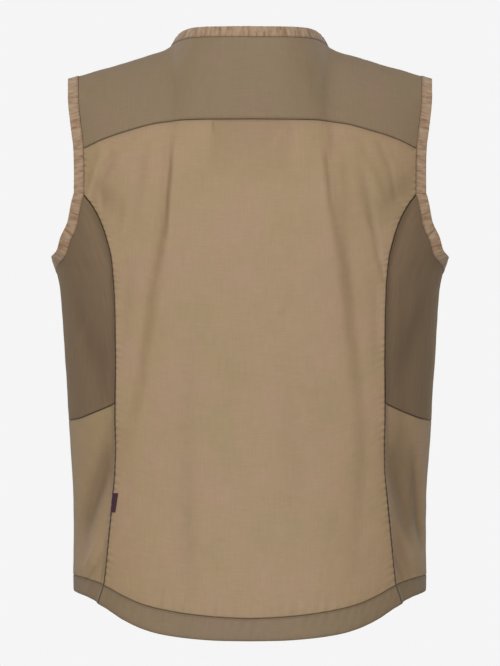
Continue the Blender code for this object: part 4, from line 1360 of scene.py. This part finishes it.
# %% Side label
LABEL_TOP = -0.5130
LABEL_BOTTOM = -0.5352
LABEL_REACH = 6.7
LABEL_FOOT_SHARE = 0.80
LABEL_FACE = 1.6
LABEL_BACK = 0.7


def label_section(width, face, back):
    """The label's section: both leaves dip into the seam beside each other."""
    first = [(0.05, back - 0.20), (0.12, back + 0.30), (0.35, face - 0.15), (0.80, face)]
    last = [(0.60, back), (0.35, back - 0.10), (0.20, back - 0.30)]
    return folded_section(first, (1.4, 8), width, face, back, last)


z = np.linspace(LABEL_BOTTOM, LABEL_TOP, 45)
caught = pairs_of(0.0003 - read(SIDE_SEAM, "back_x", z), z)
over = pairs_of(caught[:, 0] + LABEL_REACH / 1000, z)
seam, reached = behind(caught), behind(over)
face = normals_of((caught + over) / 2, behind, away_from_core(seam))
seam = seam + face * unevenness(seam)[:, None]
way = unit(reached - seam) * np.linspace(LABEL_FOOT_SHARE, 1, len(z))[:, None]
section = label_section(LABEL_REACH, LABEL_FACE, LABEL_BACK)
folded_tape("side_label", seam, way, face, section, False, 3.0, slot="plum_label", ribbing=0.05, wall=0.0003)

# %% [markdown]
# ## Copies along a line
# Stitches and zip teeth repeat hundreds of times. Each is modelled once,
# with few faces. An Array modifier then makes as many copies as the line
# needs, and each copy is moved to its place and turned to follow the line.

# %% Placing copies
def every(line, pitch, shift=0.0):
    """Fractional indices along a line, one pitch apart."""
    lengths = lengths_along(line)
    count = int((lengths[-1] - shift) / pitch)
    return np.interp(shift + (np.arange(count) + 0.5) * pitch, lengths, np.arange(len(line)))


def copies_along(model, name, places, along, out):
    """One mesh with a copy of the model at each place: its x runs along, and its z points out."""
    select_only()
    made = model.copy()
    made.data = model.data.copy()
    made.name = made.data.name = name
    bpy.context.scene.collection.objects.link(made)
    apply_modifier(made, "ARRAY", count=len(places), use_relative_offset=False)
    across = np.cross(out, along)
    flat = np.empty(len(made.data.vertices) * 3, np.float32)
    made.data.vertices.foreach_get("co", flat)
    x, y, z = np.moveaxis(flat.reshape(len(places), -1, 3), -1, 0)[..., None]
    moved = places[:, None] + x * along[:, None] + y * across[:, None] + z * out[:, None]
    made.data.vertices.foreach_set("co", moved.astype(np.float32).ravel())
    made.data.update()
    made.data.shade_smooth()
    return made


# %% [markdown]
# ### Topstitching
# The seams are topstitched with spun polyester thread. Close up, a stitch is a short length of thread whose
# two ends dip into the cloth. It starts as a ball, is stretched to its size, and its ends are pushed down.

# %% One stitch
STITCH_LENGTH = 0.0023
STITCH_PITCH = 0.0032
STITCH_THICK = 0.0005
STITCH_LEAN = 0.09


def select_where(piece, kind, chosen):
    """Edit mode with those vertices or faces selected whose place, in millimetres, passes the test."""
    bpy.ops.object.mode_set(mode="EDIT")
    bpy.ops.mesh.select_mode(type=kind)
    bpy.ops.mesh.select_all(action="DESELECT")
    bpy.ops.object.mode_set(mode="OBJECT")
    for part in piece.data.vertices if kind == "VERT" else piece.data.polygons:
        part.select = chosen(*(part.co if kind == "VERT" else part.center) * 1000)
    bpy.ops.object.mode_set(mode="EDIT")


def model_stitch():
    select_only()
    turn = (0, math.radians(90), 0)
    bpy.ops.mesh.primitive_uv_sphere_add(segments=6, ring_count=5, radius=0.5, rotation=turn)
    stitch = bpy.context.object
    bpy.ops.object.transform_apply(rotation=True)
    stitch.scale = (STITCH_LENGTH, STITCH_THICK, STITCH_THICK * 0.8)
    bpy.ops.object.transform_apply(scale=True)
    select_where(stitch, "VERT", lambda x, y, z: abs(x) > STITCH_LENGTH * 380)
    bpy.ops.transform.translate(value=(0, 0, -STITCH_THICK * 0.45))
    bpy.ops.object.mode_set(mode="OBJECT")
    return stitch


stitch = model_stitch()
print("One stitch has", len(stitch.data.polygons), "faces")

# %% Rows of stitches
threads = []


def stitch_row(name, line, outward, sheet, seed):
    """A row of stitches along a line on a sheet; each leans a little its own way."""
    at = every(line, STITCH_PITCH)
    out = unit(taken(outward, at))
    along = square_to(unit(taken(np.gradient(line, axis=0), at)), out)
    lean = STITCH_LEAN * wander(np.arange(len(at)) * 1.7, seed)[:, None]
    along = unit(along + np.cross(out, along) * lean)
    row = copies_along(stitch, name, taken(line, at) + out * STITCH_THICK * 0.3, along, out)
    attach(row, "vest")
    pieces[sheet]["sewn"].append(name)
    threads.append((row, pieces[sheet]["slot"]))
    print(f"{name}: {len(at)} stitches")


NEAR, WIDE = 6, 8
yoke_points, yoke_out = pieces["yoke"]["points"], pieces["yoke"]["outward"]
outer = yoke_points[-1 - NEAR]
inside = np.abs(outer[:, 0]) < ARMHOLE_BACK["x"][YOKE_ROW_BACK] - 0.003
back_run = inside & (outer[:, 1] < 0) & (outer[:, 2] < -0.07)
stitch_row("yoke_back_thread", outer[back_run], yoke_out[-1 - NEAR][back_run], "yoke", 1.0)
for word, column in (("left", NEAR), ("right", -1 - NEAR)):
    run = (slice(NEAR, -NEAR), column)
    stitch_row(f"yoke_front_thread_{word}", yoke_points[run], yoke_out[run], "yoke", 2.0)
    front, front_out = pieces[f"front_{word}"]["points"], pieces[f"front_{word}"]["outward"]
    run = (slice(NEAR, -NEAR), WIDE)
    stitch_row(f"zip_edge_thread_{word}", front[run], front_out[run], f"front_{word}", 3.0)
for name in ("hem_back", "hem_side_left", "hem_side_right", "hem_front_left", "hem_front_right"):
    band, band_out = pieces[name]["points"], pieces[name]["outward"]
    run = (-1 - NEAR, slice(NEAR, -NEAR))
    stitch_row(name + "_thread", band[run], band_out[run], name, 4.0)
for name in ("armhole_binding_left", "armhole_binding_right", "neck_band"):
    tape, tape_out = pieces[name]["points"], pieces[name]["outward"]
    stitch_row(name + "_thread", (tape[5] + tape[6]) / 2, tape_out[5], name, 5.0)

# %% [markdown]
# ## The zip
# An open-ended zip with moulded teeth, size 5, runs up the front to the
# top of the neck band. Its two tapes are narrow woven strips with a corded
# inner edge, and each tooth is moulded round that cord. The zip is closed.

# %% Down the middle of the front
ZIP_END = -0.6440
ZIP_STEP = 0.0026
CORD_SECTION = table("""
x height
2.9 -0.1
3 0.25
3.4 0.42
3.8 0.25
4.2 0.04
6 0
8 0
10 0
12 0
14 0
14.6 0.1
15 0
""")
ZIP_TAPE_INSET = 0.0023
ZIP_TAPE_WALL = 0.0005


def zip_middle():
    """Points up the closed zip and over the neck band, and the directions along it and out of the cloth."""
    z = np.linspace(ZIP_END, -FRONT_NECK_DROP, 240)
    low = in_front(pairs_of(ZIP_HALF_GAP, z)) * np.array([0, 1, 1])
    rise = np.linspace(0, BAND_HEIGHT, 9)[1:, None]
    points = np.vstack([low, low[-1] + band_way(low[-1:]) * rise])
    along = smoothed(unit(np.gradient(points, axis=0)), 2, False)
    out = np.stack([0 * along[:, 0], along[:, 2], -along[:, 1]], axis=-1)
    return points, along, out


middle, zip_along, zip_out = zip_middle()
x, height = CORD_SECTION["x"] / 1000, CORD_SECTION["height"] / 1000
for word, side in SIDES:
    sideways = np.array([side, 0, 0]) * x[None, :, None]
    points = middle[:, None] + sideways + zip_out[:, None] * (height - ZIP_TAPE_INSET)[None, :, None]
    uv = pairs_of(x[None, :], lengths_along(middle)[:, None])
    outward = zip_out[:, None] + 0 * points
    piece = put_on_grid(f"zip_tape_{word}_cloth", points, uv, 0 * uv[..., 0], outward)
    give_wall(piece, ZIP_TAPE_WALL)
    node = f"zip_tape_{word}"
    keep(node, piece, node, "zip_tape", points, outward, "folded")

# %% [markdown]
# ### Teeth
# A moulded tooth has a wide head that hooks behind its neighbour, a narrow neck and a foot round the cord. It
# is drawn out of a cube in three steps, and its edges are bevelled, because nothing moulded has a sharp edge.

# %% Teeth
TOOTH_HEAD = (0.0015, 0.00115, 0.0022)
TOOTH_ROOT = 0.0009
TOOTH_STEPS = ((0.0004, 0.62, 0.75), (0.0005, 1.55, 1.30), (0.0016, 1.0, 1.0))
TOOTH_EDGE = 0.00014
TOOTH_MIDDLE_INSET = 0.00195
CHAIN_FOOT = 0.0083
CHAIN_TOP = 0.00745


def model_tooth():
    """A tooth whose x is up the zip, whose y leads to its cord and whose z points out of the cloth."""
    across, up, thick = TOOTH_HEAD
    select_only()
    place = (0, across / 2 - TOOTH_ROOT, 0)
    bpy.ops.mesh.primitive_cube_add(size=1, location=place, scale=(up, across, thick))
    tooth = bpy.context.object
    bpy.ops.object.transform_apply(location=True, scale=True)
    neck = across - TOOTH_ROOT
    for length, widen, thicken in TOOTH_STEPS:
        select_where(tooth, "FACE", lambda x, y, z: y > neck * 1000 - 0.01)
        bpy.ops.mesh.extrude_region_move(TRANSFORM_OT_translate={"value": (0, length, 0)})
        bpy.ops.transform.resize(value=(widen, 1, thicken))
        bpy.ops.object.mode_set(mode="OBJECT")
        neck += length
    apply_modifier(tooth, "BEVEL", width=TOOTH_EDGE, segments=1, angle_limit=math.radians(50))
    return tooth


tooth = model_tooth()
print("One tooth has", len(tooth.data.polygons), "faces")
lengths = lengths_along(middle)
top = lengths[-1] - BAND_HEIGHT + CHAIN_TOP
run = (lengths > CHAIN_FOOT) & (lengths < top)
chain, chain_along, chain_out = middle[run], zip_along[run], zip_out[run]
sides = []
for side in (-1, 1):
    at = every(chain, ZIP_STEP, 0.0 if side > 0 else ZIP_STEP / 2)
    out = taken(chain_out, at)
    along = taken(chain_along, at) * side
    places = taken(chain, at) - out * TOOTH_MIDDLE_INSET
    sides.append(copies_along(tooth, f"teeth_{side}", places, along, out))
select_only(*sides)
bpy.ops.object.join()
teeth = sides[0]
teeth.name = teeth.data.name = "zip_teeth"
bpy.ops.object.shade_smooth_by_angle(angle=math.radians(35))
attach(teeth, "vest")
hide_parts("zip_chain")
print("Teeth:", len(teeth.data.polygons), "faces")
bpy.data.objects.remove(tooth)
bpy.data.objects.remove(stitch)

# %% [markdown]
# ### Pull tab
# The pull is cast in zinc. It starts as a flat grid: its rows are set to the
# tab's outline, two faces are cut out for the slider's bridge, three bars are
# raised as a grip, and a bevel rounds every edge. It turns on that bridge.

# %% Pull tab
PULL_ROWS = table("""
y half_width
-24 1.2
-23.6 2.1
-22.8 2.8
-21.4 3.2
-19.4 3.2
-17.8 3.2
-17 3.2
-15.6 3.2
-14.8 3.2
-13.4 3.2
-12.6 3.2
-10.8 3.2
-8 2.9
-6 2.7
-4.6 2.6
-2.6 2.6
-0.6 2.6
0.2 2.5
0.6 1.9
""")
WINDOW = (-4.6, -0.6)
WINDOW_HALF = 1.3
GRIPS = ((-17.8, -17.0), (-15.6, -14.8), (-13.4, -12.6))
PULL_WALL = 0.0011
GRIP_RISE = 0.00022
PULL_EDGE = 0.00016
SLIDER_RISE = 0.0060
PULL_STAND = 0.00185


def model_pull():
    """The tab lies in x and y, hangs towards -y from its pivot, and its z points to the cloth."""
    y, half = PULL_ROWS["y"][:, None], PULL_ROWS["half_width"][:, None]
    inner = np.minimum(WINDOW_HALF, half * 0.6)
    x = np.hstack([-half, -inner, inner, half])
    flat = np.stack([x, y + 0 * x, 0 * x], axis=-1) / 1000
    outward = np.array([0, 0, 1.0]) + 0 * flat
    tab = put_on_grid("zip_pull_tab", flat, flat[..., :2], 0 * x, outward)
    select_where(tab, "FACE", lambda x, y, z: abs(x) < 1 and WINDOW[0] < y < WINDOW[1])
    bpy.ops.mesh.delete(type="FACE")
    bpy.ops.object.mode_set(mode="OBJECT")
    apply_modifier(tab, "SOLIDIFY", thickness=PULL_WALL, offset=0.0)
    in_grip = lambda y: any(low < y < high for low, high in GRIPS)
    for way in (-1, 1):
        select_where(tab, "FACE", lambda x, y, z: z * way > 0.5 and in_grip(y))
        bpy.ops.mesh.extrude_region_move(TRANSFORM_OT_translate={"value": (0, 0, way * GRIP_RISE)})
        bpy.ops.object.mode_set(mode="OBJECT")
    apply_modifier(tab, "BEVEL", width=PULL_EDGE, segments=2, angle_limit=math.radians(35))
    return tab


pull = model_pull()
neck = in_front(pairs_of([0.0], [-FRONT_NECK_DROP]))
band = band_way(neck)[0]
lean = math.atan2(-band[1], band[2])
pivot = neck[0] + band * SLIDER_RISE + np.array([0, math.cos(lean), math.sin(lean)]) * PULL_STAND
pull.location = pivot
pull.rotation_euler = (lean + math.radians(90), 0, 0)
select_only(pull)
bpy.ops.object.transform_apply(location=True, rotation=True)
bpy.ops.object.shade_smooth_by_angle(angle=math.radians(30))
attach(pull, "pull")
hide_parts("zip_pull")
print("Pull pivots at", np.round(pivot, 5), "and has", len(pull.data.polygons), "faces")

# %% [markdown]
# # Materials
# Each finish starts from what the real one is and how it was made. Colours are given as sRGB hex
# values, as a colour picker shows them, and turned to linear light once. Patterns read the UV map,
# which is in real metres, so that a thread keeps its size on every panel. The broad, uneven colour of
# a garment washed after dyeing reads the place on the object instead, so that it crosses the seams.

# %% Colour and node helpers
def linear(hex_colour):
    """An sRGB hex colour as linear values."""
    parts = [int(hex_colour[i : i + 2], 16) / 255 for i in (0, 2, 4)]
    return (*[c / 12.92 if c <= 0.04045 else ((c + 0.055) / 1.055) ** 2.4 for c in parts], 1.0)


def feed(tree, node, sockets):
    """Gives each socket a plain value, or a link where it comes from another node."""
    for name, term in sockets.items():
        if isinstance(term, bpy.types.NodeSocket):
            tree.links.new(term, node.inputs[name])
        else:
            node.inputs[name].default_value = term


def add_node(tree, kind, *terms, out=0, sockets=None, **settings):
    """Adds a node with its settings, feeds its sockets in order or by name, and gives one of its outputs."""
    made = tree.nodes.new("ShaderNode" + kind)
    for name, setting in settings.items():
        setattr(made, name, setting)
    feed(tree, made, {**dict(enumerate(terms)), **(sockets or {})})
    return made.outputs[out]


COLOUR_MIX = {"out": 2, "data_type": "RGBA"}


# %% Helpers for patterns
def new_material(name):
    """A material, a function that adds nodes to it, and its outputs for the UV map and the place."""
    made = bpy.data.materials.new(name)
    made.use_nodes = True
    add = partial(add_node, made.node_tree)
    place = add("TexCoord").node
    return made, add, place.outputs["UV"], place.outputs["Object"]


def wave(add, along, length):
    """A sine wave of a length in metres."""
    turn = add("Math", along, 2 * math.pi / length, operation="MULTIPLY")
    return add("Math", turn, operation="SINE")


def streaks(add, uv, across, along, detail, roughness=0.5):
    """Noise that is drawn out: the size of its spots across and along, in metres."""
    drawn = add("Mapping", uv, sockets={"Scale": (1 / across, 1 / along, 1)})
    return add("TexNoise", drawn, sockets={"Scale": 1.0, "Detail": detail, "Roughness": roughness})


def three_shades(add, share, low, shades):
    """A ramp through three near shades, whose outer stops are at low and at 1 - low."""
    ramp = add("ValToRGB", share)
    stops = ramp.node.color_ramp.elements
    stops[0].position, stops[1].position = low, 1 - low
    stops[0].color, stops[1].color = linear(shades[0]), linear(shades[2])
    stops.new(0.5).color = linear(shades[1])
    return ramp


def shaded(add, colour, grain, painted_shade):
    """The colour times a grey grain, mixed towards a dark colour by the painted shade attribute, as if in
    shadow.
    """
    tone = add("CombineColor", grain, grain, grain)
    toned = add("Mix", sockets={0: 1.0, 6: colour, 7: tone}, blend_type="MULTIPLY", **COLOUR_MIX)
    # Painted shade: the point attribute mixes the colour towards the dark shade colour.
    gathered = add("Attribute", out="Fac", attribute_name="painted_shade")
    return add("Mix", sockets={0: gathered, 6: toned, 7: linear(painted_shade)}, **COLOUR_MIX)


def finished(made, colour, roughness, height, strength=0.8, **values):
    """Feeds the shader its colour, its roughness, a bump from the height in metres, and its plain values."""
    tree = made.node_tree
    if isinstance(colour, tuple):
        share, first, second = colour
        colour = add_node(tree, "Mix", sockets={0: share, 6: linear(first), 7: linear(second)}, **COLOUR_MIX)
    bump = add_node(tree, "Bump", sockets={"Strength": strength, "Distance": 1.0, "Height": height})
    plain_values = {name.replace("_", " "): value for name, value in values.items()}
    sockets = {"Base Color": colour, "Roughness": roughness, "Normal": bump, **plain_values}
    feed(tree, tree.nodes["Principled BSDF"], sockets)
    return made


# %% [markdown]
# ## Woven cloth
# The tan body is a light poplin of polyester and cotton, washed after dyeing. That
# gives a fine, nearly smooth face, a faint satin sheen, and soft blotches a shade
# pinker or yellower. The olive yoke and hem are the same cloth in a darker dye. Real
# threads lie 0.25 mm apart, too fine for this picture, so they are drawn 1.1 mm apart.

# %% Poplin
THREAD = 0.0011


def poplin(name, shades, painted_shade, roughness):
    """A plain-woven cloth in three near shades of one dye, from yellower to pinker."""
    made, add, uv, body = new_material(name)
    u, v, _ = add("SeparateXYZ", uv).node.outputs
    weave = add("Math", wave(add, u, THREAD), wave(add, v, THREAD), operation="MULTIPLY")
    slubs = streaks(add, uv, 0.0016, 0.030, 2), streaks(add, uv, 0.022, 0.0016, 2)
    slubs = add("Math", *slubs, operation="ADD")
    blotch = add("TexNoise", body, sockets={"Scale": 17, "Detail": 3, "Roughness": 0.6})
    speck = add("TexNoise", body, sockets={"Scale": 120, "Detail": 2})
    grain = add("Math", slubs, 0.16, 0.84, operation="MULTIPLY_ADD")
    grain = add("Math", weave, 0.025, grain, operation="MULTIPLY_ADD")
    specks = add("Math", speck, 0.10, 0.95, operation="MULTIPLY_ADD")
    grain = add("Math", grain, specks, operation="MULTIPLY")
    colour = shaded(add, three_shades(add, blotch, 0.36, shades), grain, painted_shade)
    thick = add("Math", slubs, 0.00006, operation="MULTIPLY")
    height = add("Math", weave, 0.000012, thick, operation="MULTIPLY_ADD")
    rough = add("Math", speck, 0.1, roughness, operation="MULTIPLY_ADD")
    values = {"IOR": 1.46, "Specular_IOR_Level": 0.5, "Sheen_Weight": 0.05, "Sheen_Roughness": 0.45}
    return finished(made, colour, rough, height, **values)


# The dark colour after the three shades is painted shade, put where shade would fall in seams, creases, the
# pleat and pucker troughs.
tan_poplin = poplin("tan_washed_poplin", ("A38A67", "A68B6A", "A88B6D"), "3A2813", 0.55)
olive_poplin = poplin("olive_washed_poplin", ("897559", "8B765B", "8C755D"), "3A2A17", 0.60)
print("Woven:", tan_poplin.name, olive_poplin.name)

# %% [markdown]
# ## Knitted stretch cloth
# The upper sides are a jersey of polyamide with elastane, brushed a little. A knit shows
# upright ribs, its wales, and its short fibres catch light at grazing angles, so it looks paler
# where it turns away. That is sheen. Real wales are 0.6 mm apart, and are drawn 1.3 mm apart.

# %% Jersey
WALE = 0.0013


def jersey(name, dye, warmer, painted_shade):
    made, add, uv, body = new_material(name)
    u, v, _ = add("SeparateXYZ", uv).node.outputs
    wale = add("Math", wave(add, u, 2 * WALE), operation="ABSOLUTE")
    course = add("Math", v, 2 * math.pi / (WALE * 0.8), operation="MULTIPLY")
    lean = add("Math", wale, 2.6, course, operation="MULTIPLY_ADD")
    loops = add("Math", lean, operation="SINE")
    blotch = add("TexNoise", body, sockets={"Scale": 22, "Detail": 3})
    fuzz = add("TexNoise", body, sockets={"Scale": 600, "Detail": 2})
    colour = add("Mix", sockets={0: blotch, 6: linear(dye), 7: linear(warmer)}, **COLOUR_MIX)
    grain = add("Math", streaks(add, uv, 0.0022, 0.050, 3), 0.34, 0.76, operation="MULTIPLY_ADD")
    grain = add("Math", wale, 0.10, grain, operation="MULTIPLY_ADD")
    grain = add("Math", loops, 0.03, grain, operation="MULTIPLY_ADD")
    height = add("Math", wale, 0.00007, operation="MULTIPLY")
    height = add("Math", loops, 0.00002, height, operation="MULTIPLY_ADD")
    height = add("Math", fuzz, 0.00008, height, operation="MULTIPLY_ADD")
    values = {"Specular_IOR_Level": 0.2, "Sheen_Weight": 0.30, "Sheen_Roughness": 0.35}
    values["Sheen_Tint"] = linear("C8B49A")
    return finished(made, shaded(add, colour, grain, painted_shade), 0.85, height, **values)


# The last colour is painted shade, put in and beside the side panels' seams and in creases.
brown_jersey = jersey("brown_brushed_jersey", "7D6952", "836D56", "302213")
print("Knitted:", brown_jersey.name)

# %% [markdown]
# ## Ribbed tape
# The binding is a cotton grosgrain: thick weft cords under a fine warp make its cross ribs. Washing
# pales the ribs and leaves more dye between them, so its colour runs from sand to a reddish brown.

# %% Grosgrain
RIB = 0.0014
TAPE_WARP = 0.0009


def grosgrain(name, shades, painted_shade):
    made, add, uv, _ = new_material(name)
    u, v, _ = add("SeparateXYZ", uv).node.outputs
    rib, warp = wave(add, u, RIB), wave(add, v, TAPE_WARP)
    thread = add("Math", rib, warp, operation="MULTIPLY")
    grain = add("Math", rib, 0.035, 0.98, operation="MULTIPLY_ADD")
    grain = add("Math", thread, 0.02, grain, operation="MULTIPLY_ADD")
    bands = three_shades(add, streaks(add, uv, 0.0042, 0.018, 3, 0.65), 0.32, shades)
    height = add("Math", rib, 0.00006, operation="MULTIPLY")
    height = add("Math", thread, 0.000012, height, operation="MULTIPLY_ADD")
    colour = shaded(add, bands, grain, painted_shade)
    return finished(made, colour, 0.80, height, Specular_IOR_Level=0.25, Sheen_Weight=0.15)


# The last colour is painted shade, put near both edges of the armhole bindings and the neck band.
sand_tape = grosgrain("sand_cotton_grosgrain", ("8C694D", "A88D73", "B69D82"), "4E361F")
print("Tape:", sand_tape.name)

# %% [markdown]
# ## Sewing thread
# The thread is spun polyester, two plies twisted together, dyed a little darker than its cloth. A row of it
# shows as fine dashes. The twist follows each stitch's own UV map: u goes round the thread and v along it.

# %% Sewing thread
def sewing_thread(name, dye, deep):
    made, add, uv, body = new_material(name)
    u, v, _ = add("SeparateXYZ", uv).node.outputs
    around = add("Math", u, 4 * math.pi, operation="MULTIPLY")
    along = add("Math", v, 8 * math.pi, around, operation="MULTIPLY_ADD")
    twist = add("Math", along, operation="SINE")
    ply = add("Math", twist, 0.5, 0.5, operation="MULTIPLY_ADD")
    fuzz = add("TexNoise", body, sockets={"Scale": 900, "Detail": 2})
    pale = add("Math", fuzz, 0.5, 0.6, operation="MULTIPLY_ADD")
    share = add("Math", ply, pale, operation="MULTIPLY")
    height = add("Math", ply, 0.00008, operation="MULTIPLY")
    return finished(made, (share, deep, dye), 0.60, height, Specular_IOR_Level=0.4, Sheen_Weight=0.15)


THREADS = {
    "tan_cloth": sewing_thread("tan_spun_polyester", "98805F", "6E583C"),
    "olive_cloth": sewing_thread("olive_spun_polyester", "80694E", "58452E"),
    "twill_tape": sewing_thread("sand_spun_polyester", "9C8168", "6B4F37"),
}
print("Threads:", len(THREADS))

# %% [markdown]
# ## Zip tape and label
# Both are narrow wovens. A zip tape is polyester herringbone: its twill lines
# turn back every few millimetres. The label is a dense satin, so it is
# smoother and takes more sheen. Twill lines 0.5 mm apart are drawn 1 mm apart.

# %% Narrow wovens
TWILL = 0.0010
HERRINGBONE = 0.0024


def twill(name, dye, deep, turn_back, roughness, sheen):
    """A twill whose lines turn back at set distances, so that they form a herringbone."""
    made, add, uv, body = new_material(name)
    u, v, _ = add("SeparateXYZ", uv).node.outputs
    across = add("Math", u, turn_back, operation="PINGPONG")
    line = wave(add, add("Math", across, v, operation="ADD"), TWILL)
    blotch = add("TexNoise", body, sockets={"Scale": 140, "Detail": 3})
    share = add("Math", blotch, 0.7, 0.1, operation="MULTIPLY_ADD")
    share = add("Math", line, 0.22, share, operation="MULTIPLY_ADD")
    height = add("Math", line, 0.00005, operation="MULTIPLY")
    rough = add("Math", blotch, 0.1, roughness, operation="MULTIPLY_ADD")
    values = {"Specular_IOR_Level": 0.35, "Sheen_Weight": sheen, "Sheen_Roughness": 0.4}
    return finished(made, (share, deep, dye), rough, height, **values)


zip_herringbone = twill("taupe_polyester_zip_tape", "7C6955", "57483A", HERRINGBONE, 0.70, 0.15)
label_satin = twill("plum_label_satin", "4E2439", "250F1A", 1.0, 0.48, 0.10)
print("Narrow wovens:", zip_herringbone.name, label_satin.name)

# %% [markdown]
# ## Moulded teeth
# The teeth and the bottom box are acetal, moulded through dyed pellets: an even
# dark brown, a low gloss, and the fine grain of the mould. Rubbing polishes
# small patches, which show as changes in roughness more than in colour.

# %% Acetal
def acetal(name, dye, worn):
    made, add, _, body = new_material(name)
    grain = add("TexNoise", body, sockets={"Scale": 2500, "Detail": 2})
    rubbed = add("TexNoise", body, sockets={"Scale": 260, "Detail": 3})
    share = add("Math", rubbed, 0.9, -0.2, operation="MULTIPLY_ADD")
    rough = add("Math", rubbed, 0.3, 0.25, operation="MULTIPLY_ADD")
    height = add("Math", grain, 0.00002, operation="MULTIPLY")
    return finished(made, (share, dye, worn), rough, height, 0.6, IOR=1.48)


brown_acetal = acetal("brown_moulded_acetal", "5F4F40", "75644F")
print("Moulded:", brown_acetal.name)

# %% [markdown]
# ## Lacquered zinc
# The slider and its pull are cast zinc, plated and lacquered a dark warm
# nickel. The lacquer lies unevenly and wears through to a brighter metal in
# small rubbed patches, along with fine scratches down the length of the pull.

# %% Zinc
def cast_zinc(name, plated, bright):
    made, add, _, body = new_material(name)
    patches = add("TexNoise", body, sockets={"Scale": 420, "Detail": 4, "Roughness": 0.65})
    lengthwise = add("Mapping", body, sockets={"Scale": (5000, 5000, 250)})
    scratches = add("TexNoise", lengthwise, sockets={"Scale": 1.0, "Detail": 2})
    worn = add("MapRange", patches, sockets={"From Min": 0.56, "From Max": 0.70})
    rough = add("Math", scratches, 0.3, 0.22, operation="MULTIPLY_ADD")
    height = add("Math", patches, 0.00003, operation="MULTIPLY")
    height = add("Math", scratches, 0.00001, height, operation="MULTIPLY_ADD")
    values = {"Metallic": 1.0, "Coat_Weight": 0.4, "Coat_Roughness": 0.15}
    return finished(made, (worn, plated, bright), rough, height, 0.6, **values)


dark_zinc = cast_zinc("lacquered_cast_zinc", "7A6F62", "B5AA9A")
print("Cast:", dark_zinc.name)

# %% [markdown]
# ## Stage, light and camera
# The photograph is a plain studio shot from straight behind, with a very long lens, so nothing looks
# nearer than the rest. Three round softboxes stand beside the camera and six more stand higher and
# all round, so that the vest is lit from every side, and the pale room fills the shadows.

# %% Floor, world, light and camera
PIXEL = 0.00115
CAMERA_DISTANCE = 16.0
FRAME_HEIGHT = 666 * PIXEL
FRAME_MIDDLE = -287 * PIXEL
SENSOR = 36.0
SOFTBOX_SIZE = 1.6
SOFTBOX_DISTANCE = 3.5

select_only()
bpy.ops.mesh.primitive_circle_add(vertices=96, radius=3.3, fill_type="NGON", location=(0, 0, -0.95))
floor = bpy.context.object
floor.name = "studio_floor"
bpy.ops.object.transform_apply(location=True)
paint = bpy.data.materials.new("matt_studio_paint")
paint.use_nodes = True
shader = paint.node_tree.nodes["Principled BSDF"]
feed(paint.node_tree, shader, {"Base Color": linear("B4B4B2"), "Roughness": 0.9})
floor.data.materials.append(paint)

world = bpy.data.worlds.new("pale_studio")
bpy.context.scene.world = world
world.use_nodes = True
tree = world.node_tree
tree.nodes.clear()
seen = add_node(tree, "Background", linear("F5F5F5"), 1.0)
fill = add_node(tree, "Background", linear("FFFFFF"), 0.185)
mixed = add_node(tree, "MixShader", add_node(tree, "LightPath", out="Is Camera Ray"), fill, seen)
feed(tree, tree.nodes.new("ShaderNodeOutputWorld"), {"Surface": mixed})


def softbox(name, azimuth, elevation, watts):
    """A round softbox, aimed at the vest. Azimuth 0 is the camera's side, and 90 is the picture's right."""
    turn, rise = math.radians(azimuth), math.radians(elevation)
    way = Vector((math.sin(turn) * math.cos(rise), -math.cos(turn) * math.cos(rise), math.sin(rise)))
    data = bpy.data.lights.new(name, "AREA")
    data.shape, data.size, data.energy = "DISK", SOFTBOX_SIZE, watts
    lamp = bpy.data.objects.new(name, data)
    bpy.context.scene.collection.objects.link(lamp)
    lamp.location = Vector((0, 0, FRAME_MIDDLE)) + way * SOFTBOX_DISTANCE
    lamp.rotation_mode = "QUATERNION"
    lamp.rotation_quaternion = (-way).to_track_quat("-Z", "Y")


for row in (
    ("camera_left", -24, 0, 17.5),
    ("camera", 0, 0, 20),
    ("camera_right", 9, 0, 27),
    ("high_left", -45, 35, 18),
    ("high_right", 25, 55, 13),
    ("overhead", 0, 90, 28),
    ("beyond_left", -130, 20, 26),
    ("beyond_right", 130, 20, 22),
    ("opposite", 180, 10, 30),
):
    softbox(*row)

camera_data = bpy.data.cameras.new("camera")
camera_data.sensor_width = SENSOR
camera_data.lens = SENSOR * CAMERA_DISTANCE / FRAME_HEIGHT
camera_data.clip_end = 60
camera = bpy.data.objects.new("camera", camera_data)
bpy.context.scene.collection.objects.link(camera)
camera.location = (0, -CAMERA_DISTANCE, FRAME_MIDDLE)
camera.rotation_euler = (math.radians(90), 0, 0)
bpy.context.scene.camera = camera
bpy.context.scene.view_settings.view_transform = "Standard"
print("Lens:", round(camera_data.lens), "mm")

# %% Dress the pieces
FINISHES = {
    "tan_cloth": tan_poplin,
    "olive_cloth": olive_poplin,
    "brown_stretch": brown_jersey,
    "twill_tape": sand_tape,
    "plum_label": label_satin,
    "zip_tape": zip_herringbone,
}
for name, facts in pieces.items():
    facts["object"].data.materials.append(FINISHES[facts["slot"]])
print("Sheets:", len(pieces))

dressed = [(row, THREADS[slot]) for row, slot in threads]
dressed += [(teeth, brown_acetal), (bpy.data.objects["zip_box"], brown_acetal)]
dressed += [(pull, dark_zinc), (bpy.data.objects["zip_slider"], dark_zinc)]
for piece, material in dressed:
    piece.data.materials.clear()
    piece.data.materials.append(material)
